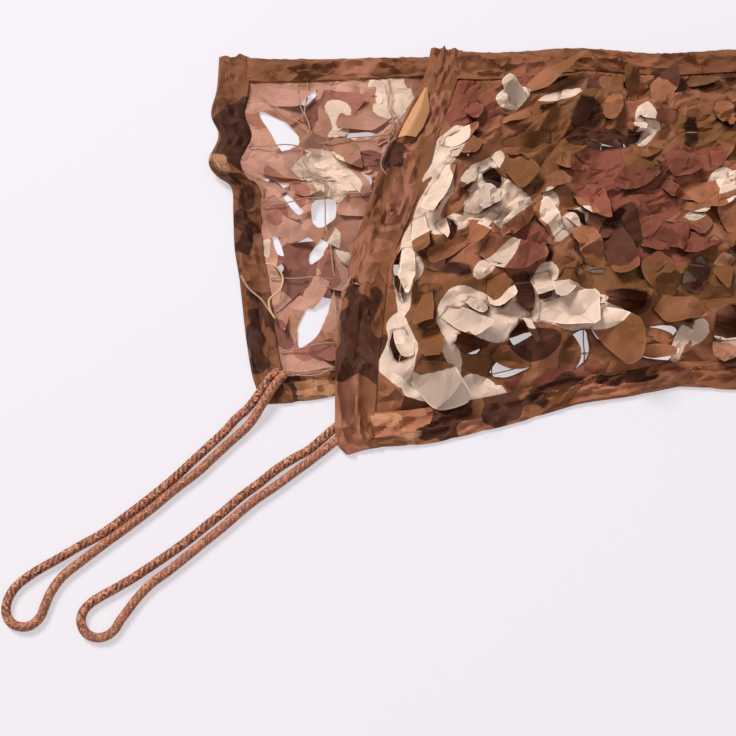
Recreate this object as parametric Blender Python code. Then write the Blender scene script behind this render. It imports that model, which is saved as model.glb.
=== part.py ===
"""A folded length of garnished camouflage netting, laid on a table.

One die-cut cloth panel is tied to a square string net, its four edges are bound with a wide tape, and
a braided cord loop comes out of each of the two near corners.  The net is laid reverse side up, and its
far end is folded back over it face side up, so that two corners lie near each other.

Flat coordinates: s runs along the length of the net and t across it, both in metres.  lay() carries them
to where the folded net lies.  Everything is in metres, +Z up, and stands on z = 0.
"""

import math
import random

import bmesh
import bpy
import numpy as np
from mathutils import Vector
from mathutils.geometry import delaunay_2d_cdt

# ---------------------------------------------------------------- driving sizes
NET_LENGTH = 0.86
NET_WIDTH = 0.34
FOLD_START = 0.484  # s where the lower layer ends and the bend begins
FOLD_END = 0.508  # s where the upper layer begins
STRING_PITCH = 0.0675
FIRST_KNOT = (0.075, 0.045)  # flat (s, t) of the first knot
STRING_WIDTH = 0.0018
STRING_THICKNESS = 0.0012
STRING_CUTS = 3  # pieces of a string between two knots
CLOTH_THICKNESS = 0.0014
TAPE_THICKNESS = 0.0045
CORD_DIAMETER = 0.007
TIE_DIAMETER = 0.0016
SEAT_GAP = 0.0005  # between two edge tapes that meet
CLOTH_GAP = 0.0009  # between the cloth and the edge tape
STRING_GAP = 0.0009  # between a string's end and the edge tape

# ---------------------------------------------------------------- where the edges lie
MIDDLE = (0.1235, 0.1070)  # centre of the outline, which becomes the origin

# (x, y) of each outer edge, from the near corner to the far one, or from the loose end to the bend
LOWER_END = (
    (-0.084, -0.031), (-0.092, -0.008), (-0.098, 0.024), (-0.105, 0.076), (-0.110, 0.105),
    (-0.112, 0.136), (-0.114, 0.158), (-0.127, 0.168), (-0.134, 0.184), (-0.127, 0.209),
    (-0.134, 0.230), (-0.130, 0.254), (-0.129, 0.286),
)
UPPER_END = (
    (-0.017, -0.073), (-0.025, -0.062), (-0.026, -0.034), (-0.026, 0.000), (-0.023, 0.034),
    (-0.018, 0.071), (-0.012, 0.098), (-0.004, 0.126), (0.004, 0.151), (0.013, 0.179),
    (0.022, 0.200), (0.032, 0.220), (0.042, 0.244), (0.050, 0.266), (0.054, 0.287),
)
LOWER_NEAR = (
    (-0.084, -0.031), (-0.055, -0.029), (-0.026, -0.024), (0.035, -0.008), (0.100, 0.020),
    (0.165, 0.038), (0.230, 0.038), (0.290, 0.024), (0.335, 0.004), (0.368, -0.008),
)
UPPER_NEAR = (
    (-0.017, -0.073), (0.005, -0.067), (0.046, -0.064), (0.085, -0.055), (0.119, -0.046),
    (0.166, -0.032), (0.213, -0.024), (0.250, -0.017), (0.291, -0.019), (0.334, -0.015),
    (0.368, -0.008),
)
LOWER_FAR = ((-0.129, 0.286), (-0.060, 0.284), (0.040, 0.286), (0.150, 0.283), (0.270, 0.286), (0.368, 0.283))
UPPER_FAR = ((0.054, 0.287), (0.110, 0.283), (0.180, 0.287), (0.250, 0.282), (0.320, 0.286), (0.368, 0.283))
FOLD_LINE = ((0.368, -0.008), (0.373, 0.050), (0.366, 0.120), (0.372, 0.200), (0.368, 0.283))

# ---------------------------------------------------------------- heights
LAYER_GAP = 0.01175  # how far the upper layer's edge tape lies above the lower layer's
CLOTH_LOFT = 0.0055  # how far the string net rises inside the edge tape
LOFT_START, LOFT_RUN = 0.030, 0.040  # from the edge
STEP_OUT, STEP_RUN = 0.030, 0.036  # how the upper layer comes down past the lower one's near edge
CLOTH_OFFSET = 0.0013  # cloth to string net where they are tied
STRING_OFFSET = -0.0012
STRING_END_DROP = 0.0007  # further from the cloth beside the edge tape
LOWER_PUCKER = 0.0058
UPPER_PUCKER = 0.0085

# broad swellings: flat centre (s, t), reach along s and t, and height
HUMPS = (
    # s, t, reach_s, reach_t, height
    (0.008, 0.213, 0.024, 0.024, 0.0075),  # pleat in the lower end tape
    (0.850, 0.232, 0.030, 0.034, 0.0070),  # bunched end of the upper end tape
    (0.760, 0.215, 0.045, 0.045, 0.0060),
    (0.700, 0.090, 0.050, 0.035, 0.0050),
    (0.620, 0.180, 0.060, 0.050, 0.0080),
    (0.560, 0.090, 0.045, 0.045, 0.0050),
    (0.545, 0.260, 0.045, 0.040, 0.0060),
    (0.690, 0.290, 0.050, 0.030, 0.0060),
)

# ---------------------------------------------------------------- edge tape widths
# (share of the edge's length, width)
LOWER_END_WIDTH = ((0.00, 0.026), (0.30, 0.025), (0.55, 0.024), (0.66, 0.026), (0.80, 0.029), (1.00, 0.028))
UPPER_END_WIDTH = (
    (0.00, 0.026), (0.12, 0.029), (0.26, 0.032), (0.40, 0.031), (0.55, 0.037), (0.68, 0.040),
    (0.80, 0.034), (1.00, 0.030),
)
NEAR_WIDTH = (
    (0.00, 0.027), (0.30, 0.027), (0.56, 0.026), (0.66, 0.025), (0.76, 0.024), (0.85, 0.026),
    (0.93, 0.029), (1.00, 0.027),
)
FAR_WIDTH = ((0.00, 0.027), (0.25, 0.025), (0.50, 0.027), (0.75, 0.025), (1.00, 0.027))
TAPE_PIECE = 0.0125  # length of one straight piece of an edge
# (share of the width, share of half the thickness) of the tape's upper outline, outer fold to inner edge
TAPE_SECTION = ((0.00, 0.35), (0.18, 1.00), (0.86, 1.00), (1.00, 0.72))

# ---------------------------------------------------------------- leaf cuts
# leaves that stand open where the net is seen: flat centre, direction of the tip in degrees, length and width
PLACED_LEAVES = (
    # s, t, direction, length, width
    (0.052, 0.266, 116, 0.052, 0.021),
    (0.078, 0.299, 61, 0.018, 0.010),
    (0.041, 0.209, 115, 0.022, 0.011),
    (0.052, 0.178, 302, 0.036, 0.007),
    (0.075, 0.169, 268, 0.030, 0.023),
    (0.067, 0.133, 234, 0.030, 0.012),
    (0.054, 0.069, 241, 0.056, 0.021),
    (0.119, 0.253, 356, 0.028, 0.011),
    (0.036, 0.140, 281, 0.024, 0.007),
    (0.767, 0.066, 207, 0.022, 0.012),
    (0.815, 0.073, 263, 0.029, 0.012),
    (0.654, 0.079, 194, 0.032, 0.021),
    (0.603, 0.100, 111, 0.038, 0.018),
    (0.705, 0.265, 274, 0.028, 0.017),
    (0.661, 0.158, 116, 0.018, 0.011),
    (0.676, 0.232, 192, 0.044, 0.010),
    (0.609, 0.243, 262, 0.036, 0.011),
    (0.738, 0.046, 359, 0.030, 0.018),
    (0.690, 0.047, 112, 0.028, 0.022),
    (0.584, 0.056, 92, 0.030, 0.022),
    (0.817, 0.130, 269, 0.048, 0.013),
    (0.765, 0.206, 234, 0.028, 0.012),
    (0.777, 0.128, 209, 0.024, 0.012),
    (0.712, 0.133, 235, 0.021, 0.013),
    (0.727, 0.098, 260, 0.040, 0.014),
    (0.626, 0.050, 198, 0.028, 0.010),
    (0.572, 0.121, 135, 0.022, 0.012),
    (0.618, 0.181, 211, 0.027, 0.011),
    (0.634, 0.125, 232, 0.026, 0.011),
    (0.691, 0.160, 210, 0.026, 0.011),
    (0.761, 0.266, 156, 0.026, 0.012),
    (0.790, 0.166, 234, 0.030, 0.012),
    (0.760, 0.093, 221, 0.026, 0.012),
    (0.676, 0.113, 225, 0.018, 0.011),
)
LEAF_SIZES = ((0.044, 16), (0.036, 30), (0.028, 40))  # (length, how many more at most)
LEAF_SLIM = (0.40, 0.56)  # width as a share of the length
LEAF_TRIES = 30
LEAF_MARGIN = 0.0045  # cloth left between two gaps
LEAF_SEED = 11
HINGE_SHARE = 0.60  # a leaf's width where it stays joined, as a share of its full width
GAP_POINTS = 4  # outline points on each side of a gap
CLOTH_GRID = 0.0165

# ---------------------------------------------------------------- corner loops
# (x, y, z) of each cord's centreline, out of the tape, round the loop and back to it
LOWER_LOOP = (
    (-0.0690, -0.0110, 0.0094), (-0.0745, -0.0190, 0.0094), (-0.0815, -0.0305, 0.0088),
    (-0.0885, -0.0420, 0.0058), (-0.0955, -0.0510, 0.0037), (-0.107, -0.062, 0.0036),
    (-0.120, -0.075, 0.0036), (-0.132, -0.087, 0.0036), (-0.149, -0.101, 0.0036),
    (-0.166, -0.116, 0.0036), (-0.183, -0.130, 0.0036), (-0.201, -0.144, 0.0036),
    (-0.217, -0.157, 0.0036), (-0.231, -0.169, 0.0036), (-0.239, -0.181, 0.0036),
    (-0.243, -0.192, 0.0036), (-0.2455, -0.1995, 0.0036), (-0.251, -0.2055, 0.0036),
    (-0.258, -0.2075, 0.0036), (-0.2655, -0.2055, 0.0036), (-0.2705, -0.200, 0.0036),
    (-0.272, -0.1925, 0.0036), (-0.270, -0.184, 0.0036), (-0.264, -0.175, 0.0036),
    (-0.251, -0.165, 0.0036), (-0.236, -0.156, 0.0036), (-0.220, -0.146, 0.0036),
    (-0.203, -0.136, 0.0036), (-0.185, -0.122, 0.0036), (-0.168, -0.108, 0.0036),
    (-0.151, -0.093, 0.0036), (-0.138, -0.080, 0.0036), (-0.125, -0.067, 0.0036),
    (-0.114, -0.056, 0.0036), (-0.104, -0.044, 0.0036), (-0.0975, -0.0340, 0.0036),
    (-0.0905, -0.0240, 0.0036),
)
UPPER_LOOP = (
    (-0.0282, -0.0532, 0.0036), (-0.036, -0.0605, 0.0036), (-0.047, -0.070, 0.0036),
    (-0.059, -0.077, 0.0036), (-0.072, -0.086, 0.0036), (-0.085, -0.097, 0.0036),
    (-0.098, -0.107, 0.0036), (-0.111, -0.119, 0.0036), (-0.124, -0.130, 0.0036),
    (-0.137, -0.141, 0.0036), (-0.150, -0.151, 0.0036), (-0.164, -0.161, 0.0036),
    (-0.177, -0.170, 0.0036), (-0.190, -0.178, 0.0036), (-0.202, -0.185, 0.0036),
    (-0.209, -0.190, 0.0036), (-0.2135, -0.1955, 0.0036), (-0.215, -0.2025, 0.0036),
    (-0.213, -0.209, 0.0036), (-0.2085, -0.2135, 0.0036), (-0.202, -0.2155, 0.0036),
    (-0.195, -0.214, 0.0036), (-0.1895, -0.2095, 0.0036), (-0.1855, -0.2025, 0.0036),
    (-0.181, -0.196, 0.0036), (-0.174, -0.186, 0.0036), (-0.164, -0.175, 0.0036),
    (-0.151, -0.165, 0.0036), (-0.138, -0.154, 0.0036), (-0.124, -0.142, 0.0036),
    (-0.111, -0.131, 0.0036), (-0.099, -0.120, 0.0036), (-0.086, -0.109, 0.0036),
    (-0.072, -0.099, 0.0036), (-0.059, -0.089, 0.0036), (-0.046, -0.079, 0.0036),
    (-0.036, -0.0710, 0.0036), (-0.0280, -0.0641, 0.0036),
)
CORD_STEP = 2.4 * CORD_DIAMETER
TIE_ROUTE = (
    (-0.0930, 0.0640, 0.0064), (-0.0850, 0.0610, 0.0076), (-0.0785, 0.0560, 0.0074),
    (-0.0755, 0.0480, 0.0068), (-0.0770, 0.0400, 0.0062), (-0.0805, 0.0345, 0.0060),
)

COLOURS = {
    # name: (base colour, roughness)
    "scrim": ((0.235, 0.115, 0.062), 0.75),
    "tape": ((0.150, 0.070, 0.036), 0.80),
    "string": ((0.520, 0.400, 0.300), 0.85),
    "cord": ((0.330, 0.150, 0.080), 0.85),
}


# ---------------------------------------------------------------- helpers
def clear_scene():
    for obj in list(bpy.data.objects):
        bpy.data.objects.remove(obj)


def smooth(value):
    value = np.clip(value, 0.0, 1.0)
    return value * value * (3.0 - 2.0 * value)


def rounded_line(points, samples=24):
    """A dense line on the Catmull-Rom curve through the points."""
    p = np.array(points, float)
    p = np.vstack([2 * p[0] - p[1], p, 2 * p[-1] - p[-2]])
    f = np.linspace(0, 1, samples, endpoint=False)[:, None]
    runs = []
    for a, b, c, d in zip(p[:-3], p[1:-2], p[2:-1], p[3:]):
        runs.append(0.5 * (2 * b + (c - a) * f + (2 * a - 5 * b + 4 * c - d) * f**2
                           + (3 * b - a - 3 * c + d) * f**3))
    return np.vstack(runs + [p[-2:-1]])


def along(line, share):
    """The points at these shares of the line's length."""
    run = np.concatenate([[0], np.cumsum(np.linalg.norm(np.diff(line, axis=0), axis=1))])
    at = np.asarray(share, float) * run[-1]
    return np.stack([np.interp(at, run, line[:, k]) for k in range(line.shape[1])], axis=-1)


def table_value(table, share):
    rows = np.array(table, float)
    return np.interp(share, rows[:, 0], rows[:, 1])


def far_from(points, others, distance):
    gaps = np.linalg.norm(points[:, None] - others[None], axis=2).min(axis=1)
    return points[gaps > distance]


def inside_polygon(points, polygon):
    x, y = points[:, 0][:, None], points[:, 1][:, None]
    ax, ay = polygon[:, 0], polygon[:, 1]
    bx, by = np.roll(ax, -1), np.roll(ay, -1)
    crosses = ((ay > y) != (by > y)) & (x < (bx - ax) * (y - ay) / (by - ay + 1e-30) + ax)
    return crosses.sum(axis=1) % 2 == 1


def material(name):
    colour, roughness = COLOURS[name]
    made = bpy.data.materials.get(name) or bpy.data.materials.new(name)
    made.use_nodes = True
    shader = made.node_tree.nodes["Principled BSDF"]
    shader.inputs["Base Color"].default_value = (*colour, 1.0)
    shader.inputs["Roughness"].default_value = roughness
    shader.inputs["Metallic"].default_value = 0.0
    return made


def add_object(name, data, finish):
    obj = bpy.data.objects.new(name, data)
    obj.location = (-MIDDLE[0], -MIDDLE[1], 0.0)
    data.materials.append(material(finish))
    bpy.context.scene.collection.objects.link(obj)
    return obj


# ---------------------------------------------------------------- the laid surface
EDGES = {
    "lower": [rounded_line(p) for p in (LOWER_NEAR, LOWER_FAR, LOWER_END, FOLD_LINE)],
    "upper": [rounded_line(p) for p in (UPPER_NEAR, UPPER_FAR, UPPER_END, FOLD_LINE)],
}


def patch(layer, share_s, share_t):
    """A layer's plan position: the surface that joins its four edge curves."""
    near, far, end, bend = EDGES[layer]
    u, v = share_s[:, None], share_t[:, None]
    corners = (1 - u) * (1 - v) * near[0] + u * (1 - v) * near[-1] + (1 - u) * v * far[0] + u * v * far[-1]
    return ((1 - v) * along(near, share_s) + v * along(far, share_s)
            + (1 - u) * along(end, share_t) + u * along(bend, share_t) - corners)


def humps(s, t):
    total = np.zeros_like(s)
    for hs, ht, reach_s, reach_t, height in HUMPS:
        total += height * np.exp(-(((s - hs) / reach_s) ** 2) - ((t - ht) / reach_t) ** 2)
    return total


def net_surface(s, t):
    """Position and outward direction of the string net at flat (s, t). Outward is the cloth's side."""
    s, t = np.broadcast_arrays(np.asarray(s, float), np.asarray(t, float))
    s, t = s.ravel(), t.ravel()
    share_t = t / NET_WIDTH
    lower = patch("lower", np.clip(s / FOLD_START, 0, 1), share_t)
    upper = patch("upper", np.clip((NET_LENGTH - s) / (NET_LENGTH - FOLD_END), 0, 1), share_t)
    side = np.minimum(t, NET_WIDTH - t)
    half = TAPE_THICKNESS / 2
    swell = humps(s, t)
    low_z = half + CLOTH_LOFT * smooth((np.minimum(side, s) - LOFT_START) / LOFT_RUN)
    low_z = low_z + np.where(s < FOLD_START, swell, 0.0)
    # how far inside the lower layer's near edge each point of the upper layer lies
    near = EDGES["lower"][0]
    inside = upper[:, 1] - np.interp(upper[:, 0], near[:, 0], near[:, 1])
    top_z = half + LAYER_GAP * smooth((inside + STEP_OUT) / STEP_RUN)
    top_z = top_z + CLOTH_LOFT * smooth((np.minimum(side, NET_LENGTH - s) - LOFT_START) / LOFT_RUN)
    top_z = top_z + np.where(s > FOLD_END, swell * smooth((s - FOLD_END) / 0.03), 0.0)
    turn = np.pi * np.clip((s - FOLD_START) / (FOLD_END - FOLD_START), 0, 1)
    radius = (top_z - low_z) / 2
    bend_x = lower[:, 0] + radius * np.sin(turn)
    bend_z = (top_z + low_z) / 2 - radius * np.cos(turn)
    bending = (s >= FOLD_START) & (s <= FOLD_END)
    where = np.where((s < FOLD_START)[:, None], np.column_stack([lower, low_z]),
                     np.column_stack([upper, top_z]))
    where[bending] = np.column_stack([bend_x, lower[:, 1], bend_z])[bending]
    out = np.column_stack([np.sin(turn), np.zeros_like(turn), -np.cos(turn)])
    return where, out


def lay(s, t, offset=0.0):
    """Where flat (s, t) lies, offset outwards from the string net."""
    where, out = net_surface(s, t)
    return where + out * np.broadcast_to(offset, len(where))[:, None]


def pucker(s, t):
    """0 where the cloth is tied to the net, up to 1 between the ties."""
    a = (np.cos(np.pi * (s - FIRST_KNOT[0]) / STRING_PITCH) ** 2
         * np.cos(np.pi * (t - FIRST_KNOT[1]) / STRING_PITCH) ** 2)
    uneven = 0.72 + 0.16 * np.sin(47.0 * s + 31.0 * t) + 0.12 * np.sin(83.0 * t - 59.0 * s + 1.7)
    return (1.0 - a) * uneven


def end_width(layer, t):
    table = LOWER_END_WIDTH if layer == "lower" else UPPER_END_WIDTH
    return table_value(table, np.asarray(t) / NET_WIDTH)


def edge_fade(s, t):
    """0 at the edge tape, 1 from 20 mm inside it."""
    to_edge = np.minimum.reduce([
        t - table_value(NEAR_WIDTH, s / NET_LENGTH), NET_WIDTH - table_value(FAR_WIDTH, s / NET_LENGTH) - t,
        s - end_width("lower", t), NET_LENGTH - end_width("upper", t) - s])
    return smooth(to_edge / 0.020)


def cloth_offset(s, t):
    over_bend = smooth(np.abs(s - (FOLD_START + FOLD_END) / 2) / 0.045)
    height = np.where(s < FOLD_START, LOWER_PUCKER, UPPER_PUCKER)
    return CLOTH_OFFSET + height * pucker(s, t) * edge_fade(s, t) * (0.25 + 0.75 * over_bend)


def lay_cloth(s, t):
    where = lay(s, t, cloth_offset(s, t))
    where[:, 2] = np.maximum(where[:, 2], CLOTH_THICKNESS / 2 + 0.00005)
    return where


# ---------------------------------------------------------------- leaves cut in the cloth
def leaf_outline(centre_s, centre_t, direction, length, width, points):
    """Outline of a cut leaf, from one end of its hinge round the tip to the other."""
    shares = np.linspace(0.0, 1.0, points + 1)
    swell = np.where(shares < 0.45, HINGE_SHARE + (1 - HINGE_SHARE) * np.sin(np.pi / 2 * shares / 0.45),
                     np.sqrt(np.maximum(0.0, 1 - ((shares - 0.45) / 0.55) ** 2)))
    right = np.column_stack([(shares - 0.5) * length, 0.5 * width * swell])
    left = right[-2::-1] * (1, -1)
    a = math.radians(direction)
    turned = np.vstack([right, left]) @ np.array([[math.cos(a), math.sin(a)], [-math.sin(a), math.cos(a)]])
    return turned + (centre_s, centre_t)


def in_cloth(rim):
    """Whether every point of a gap's rim lies well inside the cloth and clear of the bend."""
    s, t = rim[:, 0], rim[:, 1]
    room = np.minimum.reduce([t - table_value(NEAR_WIDTH, s / NET_LENGTH),
                              NET_WIDTH - table_value(FAR_WIDTH, s / NET_LENGTH) - t,
                              s - end_width("lower", t), NET_LENGTH - end_width("upper", t) - s])
    return bool(room.min() > 0.0055 and np.abs(s - (FOLD_START + FOLD_END) / 2).min() > 0.020)


def in_sight(leaf):
    """The lower layer's uncovered part keeps to the placed leaves."""
    return leaf[0] < 0.10 + 0.10 * leaf[1] / NET_WIDTH


def open_leaves():
    """(s, t, direction, length, width) of every leaf that leaves a gap, the placed ones first."""
    rng = random.Random(LEAF_SEED)
    leaves, rims = list(PLACED_LEAVES), [leaf_outline(*leaf, 8) for leaf in PLACED_LEAVES]
    for length, wanted in LEAF_SIZES:
        placed = 0
        for _ in range(wanted * LEAF_TRIES):
            leaf = (rng.uniform(0.02, NET_LENGTH - 0.02), rng.uniform(0.02, NET_WIDTH - 0.02),
                    rng.uniform(0, 360), length, length * rng.uniform(*LEAF_SLIM))
            if placed == wanted or in_sight(leaf):
                continue
            rim = leaf_outline(*leaf, 8)
            centre = np.array(leaf[:2])
            close = [other for other in rims if np.linalg.norm(other.mean(axis=0) - centre) < 0.055]
            if not in_cloth(rim) or any(far_from(rim, other, LEAF_MARGIN).shape != rim.shape or
                                        inside_polygon(rim[:1], other)[0] or
                                        inside_polygon(other[:1], rim)[0] for other in close):
                continue
            placed += 1
            leaves.append(leaf)
            rims.append(rim)
    return leaves


# ---------------------------------------------------------------- where the edges are cut into pieces
def long_stations():
    """s of each cut across a long edge, closer together over the bend."""
    before = np.linspace(0.0, FOLD_START, round(FOLD_START / TAPE_PIECE) + 1)
    after = np.linspace(FOLD_END, NET_LENGTH, round((NET_LENGTH - FOLD_END) / TAPE_PIECE) + 1)
    return np.concatenate([before, np.linspace(FOLD_START, FOLD_END, 8)[1:-1], after])


def end_stations(layer):
    """t of each cut across an end edge, with every corner of the long tapes' sections among them."""
    s = 0.0 if layer == "lower" else NET_LENGTH
    near = float(table_value(NEAR_WIDTH, s / NET_LENGTH))
    far = float(table_value(FAR_WIDTH, s / NET_LENGTH))
    fixed = [share * near for share, _ in TAPE_SECTION] + [near + CLOTH_GAP]
    fixed += [NET_WIDTH - share * far for share, _ in TAPE_SECTION] + [NET_WIDTH - far - CLOTH_GAP]
    even = np.linspace(0.0, NET_WIDTH, round(NET_WIDTH / TAPE_PIECE) + 1)
    return np.array(sorted(fixed + [t for t in even if min(abs(t - other) for other in fixed) > 0.004]))


def inner_s(layer, t, gap=SEAT_GAP):
    """Flat s of the inner side of an end tape, a gap inside it."""
    width = end_width(layer, t) + gap
    return width if layer == "lower" else NET_LENGTH - width


# ---------------------------------------------------------------- the cloth panel
def panel_boundary():
    """The cloth's flat outline, just inside the edge tapes and cut where they are."""
    sides = []
    for layer in ("lower", "upper"):
        t = end_stations(layer)
        low = float(table_value(NEAR_WIDTH, 0.0 if layer == "lower" else 1.0)) + CLOTH_GAP
        high = NET_WIDTH - float(table_value(FAR_WIDTH, 0.0 if layer == "lower" else 1.0)) - CLOTH_GAP
        t = t[(t > low - 1e-6) & (t < high + 1e-6)]
        sides.append(np.column_stack([inner_s(layer, t, CLOTH_GAP), t]))
    lower, upper = sides
    s = long_stations()
    s = s[(s > lower[:, 0].max() + 0.003) & (s < upper[:, 0].min() - 0.003)]
    near = np.column_stack([s, table_value(NEAR_WIDTH, s / NET_LENGTH) + CLOTH_GAP])
    far = np.column_stack([s, NET_WIDTH - table_value(FAR_WIDTH, s / NET_LENGTH) - CLOTH_GAP])
    return np.vstack([lower[::-1], near, upper, far[::-1]])


def flat_panel():
    """Flat points and triangles of the cloth, with its gaps cut out."""
    outline = panel_boundary()
    gaps = [leaf_outline(*leaf, GAP_POINTS) for leaf in open_leaves()]
    rims = np.vstack([outline, *gaps])
    s_grid = np.concatenate([np.arange(0.0, FOLD_START - 0.010, CLOTH_GRID),
                             np.linspace(FOLD_START, FOLD_END, 6),
                             np.arange(FOLD_END + 0.012, NET_LENGTH, CLOTH_GRID)])
    rows = np.arange(0.0, NET_WIDTH, CLOTH_GRID)
    grid = np.array([(s, t + (0.5 * CLOTH_GRID if k % 2 else 0.0)) for k, s in enumerate(s_grid) for t in rows])
    grid = grid[inside_polygon(grid, outline)]
    grid = far_from(grid, rims, 0.0045)
    for gap in gaps:
        grid = grid[~inside_polygon(grid, gap)]
    points = np.vstack([rims, grid])
    loops, start = [], 0
    for ring in [outline, *gaps]:
        loops.append(list(range(start, start + len(ring))))
        start += len(ring)
    edges = [(a, b) for loop in loops for a, b in zip(loop, loop[1:] + loop[:1])]
    made = delaunay_2d_cdt([Vector(p) for p in points], edges, [], 0, 1e-6)
    flat, faces = np.array([tuple(v) for v in made[0]]), np.array([list(f) for f in made[2]])
    middle = flat[faces].mean(axis=1)
    keep = inside_polygon(middle, outline)
    for gap in gaps:
        keep &= ~inside_polygon(middle, gap)
    return flat, faces[keep], len(gaps)


def solid_from_sheet(name, points, faces, thickness, finish):
    """A closed solid: the sheet thickened by half to each side."""
    used = np.unique(faces)
    index = np.full(len(points), -1)
    index[used] = np.arange(len(used))
    mesh = bpy.data.meshes.new(name)
    mesh.from_pydata(points[used].tolist(), [], index[faces].tolist())
    made = bmesh.new()
    made.from_mesh(mesh)
    bmesh.ops.recalc_face_normals(made, faces=made.faces)
    made.to_mesh(mesh)
    made.free()
    obj = add_object(name, mesh, finish)
    solidify = obj.modifiers.new("Thickness", "SOLIDIFY")
    solidify.thickness = thickness
    solidify.offset = 0.0
    return obj


def build_cloth():
    flat, faces, gaps = flat_panel()
    solid_from_sheet("scrim_panel", lay_cloth(flat[:, 0], flat[:, 1]), faces, CLOTH_THICKNESS, "scrim")
    return gaps


# ---------------------------------------------------------------- the string net
def string_lines():
    """The knots' flat rows: across lines at these s, and lengthwise lines at these t."""
    columns = np.arange(FIRST_KNOT[0], NET_LENGTH - 0.035, STRING_PITCH)
    rows = np.arange(FIRST_KNOT[1], NET_WIDTH - 0.060, STRING_PITCH)
    return columns, rows


def build_strings():
    """A lattice of quads: one at each knot and three along each string between two knots."""
    columns, rows = string_lines()
    half = STRING_WIDTH / 2
    points, faces, index = [], [], {}

    def corner(i, j, right, top):
        key = (i, j, right, top)
        if key not in index:
            index[key] = len(points)
            points.append((columns[i] + (half if right else -half), rows[j] + (half if top else -half)))
        return index[key]

    def cuts(a, b):
        """Shares of a run where it is cut: more of them over the bend and by the near side."""
        (s0, t0), (s1, t1) = a, b
        if abs(s1 - s0) > abs(t1 - t0):
            bend = [(s - s0) / (s1 - s0) for s in np.linspace(FOLD_START - 0.004, FOLD_END + 0.004, 9)]
            bend = [share for share in bend if 0.03 < share < 0.97]
            even = [share for share in (0.33, 0.67) if all(abs(share - other) > 0.08 for other in bend)]
            return sorted(bend + even)
        count = STRING_CUTS if min(t0, t1) > 0.050 else 7
        return [k / count for k in range(1, count)]

    def string_run(start, end, to, slack):
        """Quads from a pair of points to another pair, or to a free end at the flat pair `to`."""
        a = np.array([points[k] for k in start])
        b = np.array([points[k] for k in end] if end else to)
        lengthwise = abs(b[0][0] - a[0][0]) > abs(b[0][1] - a[0][1])
        last = start
        for share in [*cuts(a.mean(axis=0), b.mean(axis=0)), 1.0]:
            if share == 1.0 and end:
                pair = end
            else:
                bow = slack * math.sin(math.pi * share)
                spot = a + (b - a) * share + (0.0, bow) if lengthwise else a + (b - a) * share + (bow, 0.0)
                pair = (len(points), len(points) + 1)
                points.extend([tuple(spot[0]), tuple(spot[1])])
            faces.append((last[0], last[1], pair[1], pair[0]))
            last = pair

    for i in range(len(columns)):
        for j in range(len(rows)):
            faces.append((corner(i, j, 0, 0), corner(i, j, 1, 0), corner(i, j, 1, 1), corner(i, j, 0, 1)))
            slack = 0.004 * math.sin(2.3 * i + 1.9 * j)
            right = (corner(i, j, 1, 1), corner(i, j, 1, 0))
            if i + 1 < len(columns):
                string_run(right, (corner(i + 1, j, 0, 1), corner(i + 1, j, 0, 0)), None, slack)
            else:
                t = rows[j]
                end_s = float(inner_s("upper", t, STRING_GAP))
                string_run(right, None, [(end_s, t + half), (end_s, t - half)], 0.0)
            if i == 0:
                t = rows[j]
                end_s = float(inner_s("lower", t, STRING_GAP))
                string_run((corner(i, j, 0, 0), corner(i, j, 0, 1)), None, [(end_s, t - half), (end_s, t + half)], 0.0)
            top = (corner(i, j, 0, 1), corner(i, j, 1, 1))
            s = columns[i]
            if j + 1 < len(rows):
                string_run(top, (corner(i, j + 1, 0, 0), corner(i, j + 1, 1, 0)), None, slack)
            else:
                end_t = NET_WIDTH - float(table_value(FAR_WIDTH, s / NET_LENGTH)) - STRING_GAP
                string_run(top, None, [(s - half, end_t), (s + half, end_t)], 0.0)
            if j == 0:
                end_t = float(table_value(NEAR_WIDTH, s / NET_LENGTH)) + STRING_GAP
                string_run((corner(i, j, 1, 0), corner(i, j, 0, 0)), None, [(s + half, end_t), (s - half, end_t)], 0.0)

    flat = np.array(points)
    inset = STRING_OFFSET - STRING_END_DROP * (1.0 - edge_fade(flat[:, 0], flat[:, 1]))
    where = lay(flat[:, 0], flat[:, 1], inset)
    where[:, 2] = np.maximum(where[:, 2], STRING_THICKNESS / 2 + 0.0002)
    quads = np.array(faces)
    triangles = np.vstack([quads[:, [0, 1, 2]], quads[:, [0, 2, 3]]])
    solid_from_sheet("string_net", where, triangles, STRING_THICKNESS, "string")
    return (len(columns) - 1) * (len(rows) - 1)


# ---------------------------------------------------------------- the edge tape
def tape_mesh(name, stations):
    """A closed strip lofted through rings of points."""
    made = bmesh.new()
    rings = [[made.verts.new(p) for p in ring] for ring in stations]
    for a, b in zip(rings, rings[1:]):
        for k in range(len(a)):
            n = (k + 1) % len(a)
            made.faces.new((a[k], a[n], b[n], b[k]))
    made.faces.new(rings[0][::-1])
    made.faces.new(rings[-1])
    bmesh.ops.triangulate(made, faces=[f for f in made.faces if len(f.verts) > 4])
    bmesh.ops.recalc_face_normals(made, faces=made.faces)
    mesh = bpy.data.meshes.new(name)
    made.to_mesh(mesh)
    made.free()
    add_object(name, mesh, "tape")


def tape_ring(width, flat_at):
    """One ring of the tape's section. flat_at(distance from the outer edge) gives flat (s, t)."""
    half = TAPE_THICKNESS / 2
    section = [(share, half * rise) for share, rise in TAPE_SECTION]
    section += [(share, -half * rise) for share, rise in TAPE_SECTION[::-1]]
    ring = []
    for share, rise in section:
        s, t = flat_at(share * width)
        ring.append(tuple(lay(s, t, rise)[0]))
    return ring


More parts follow.
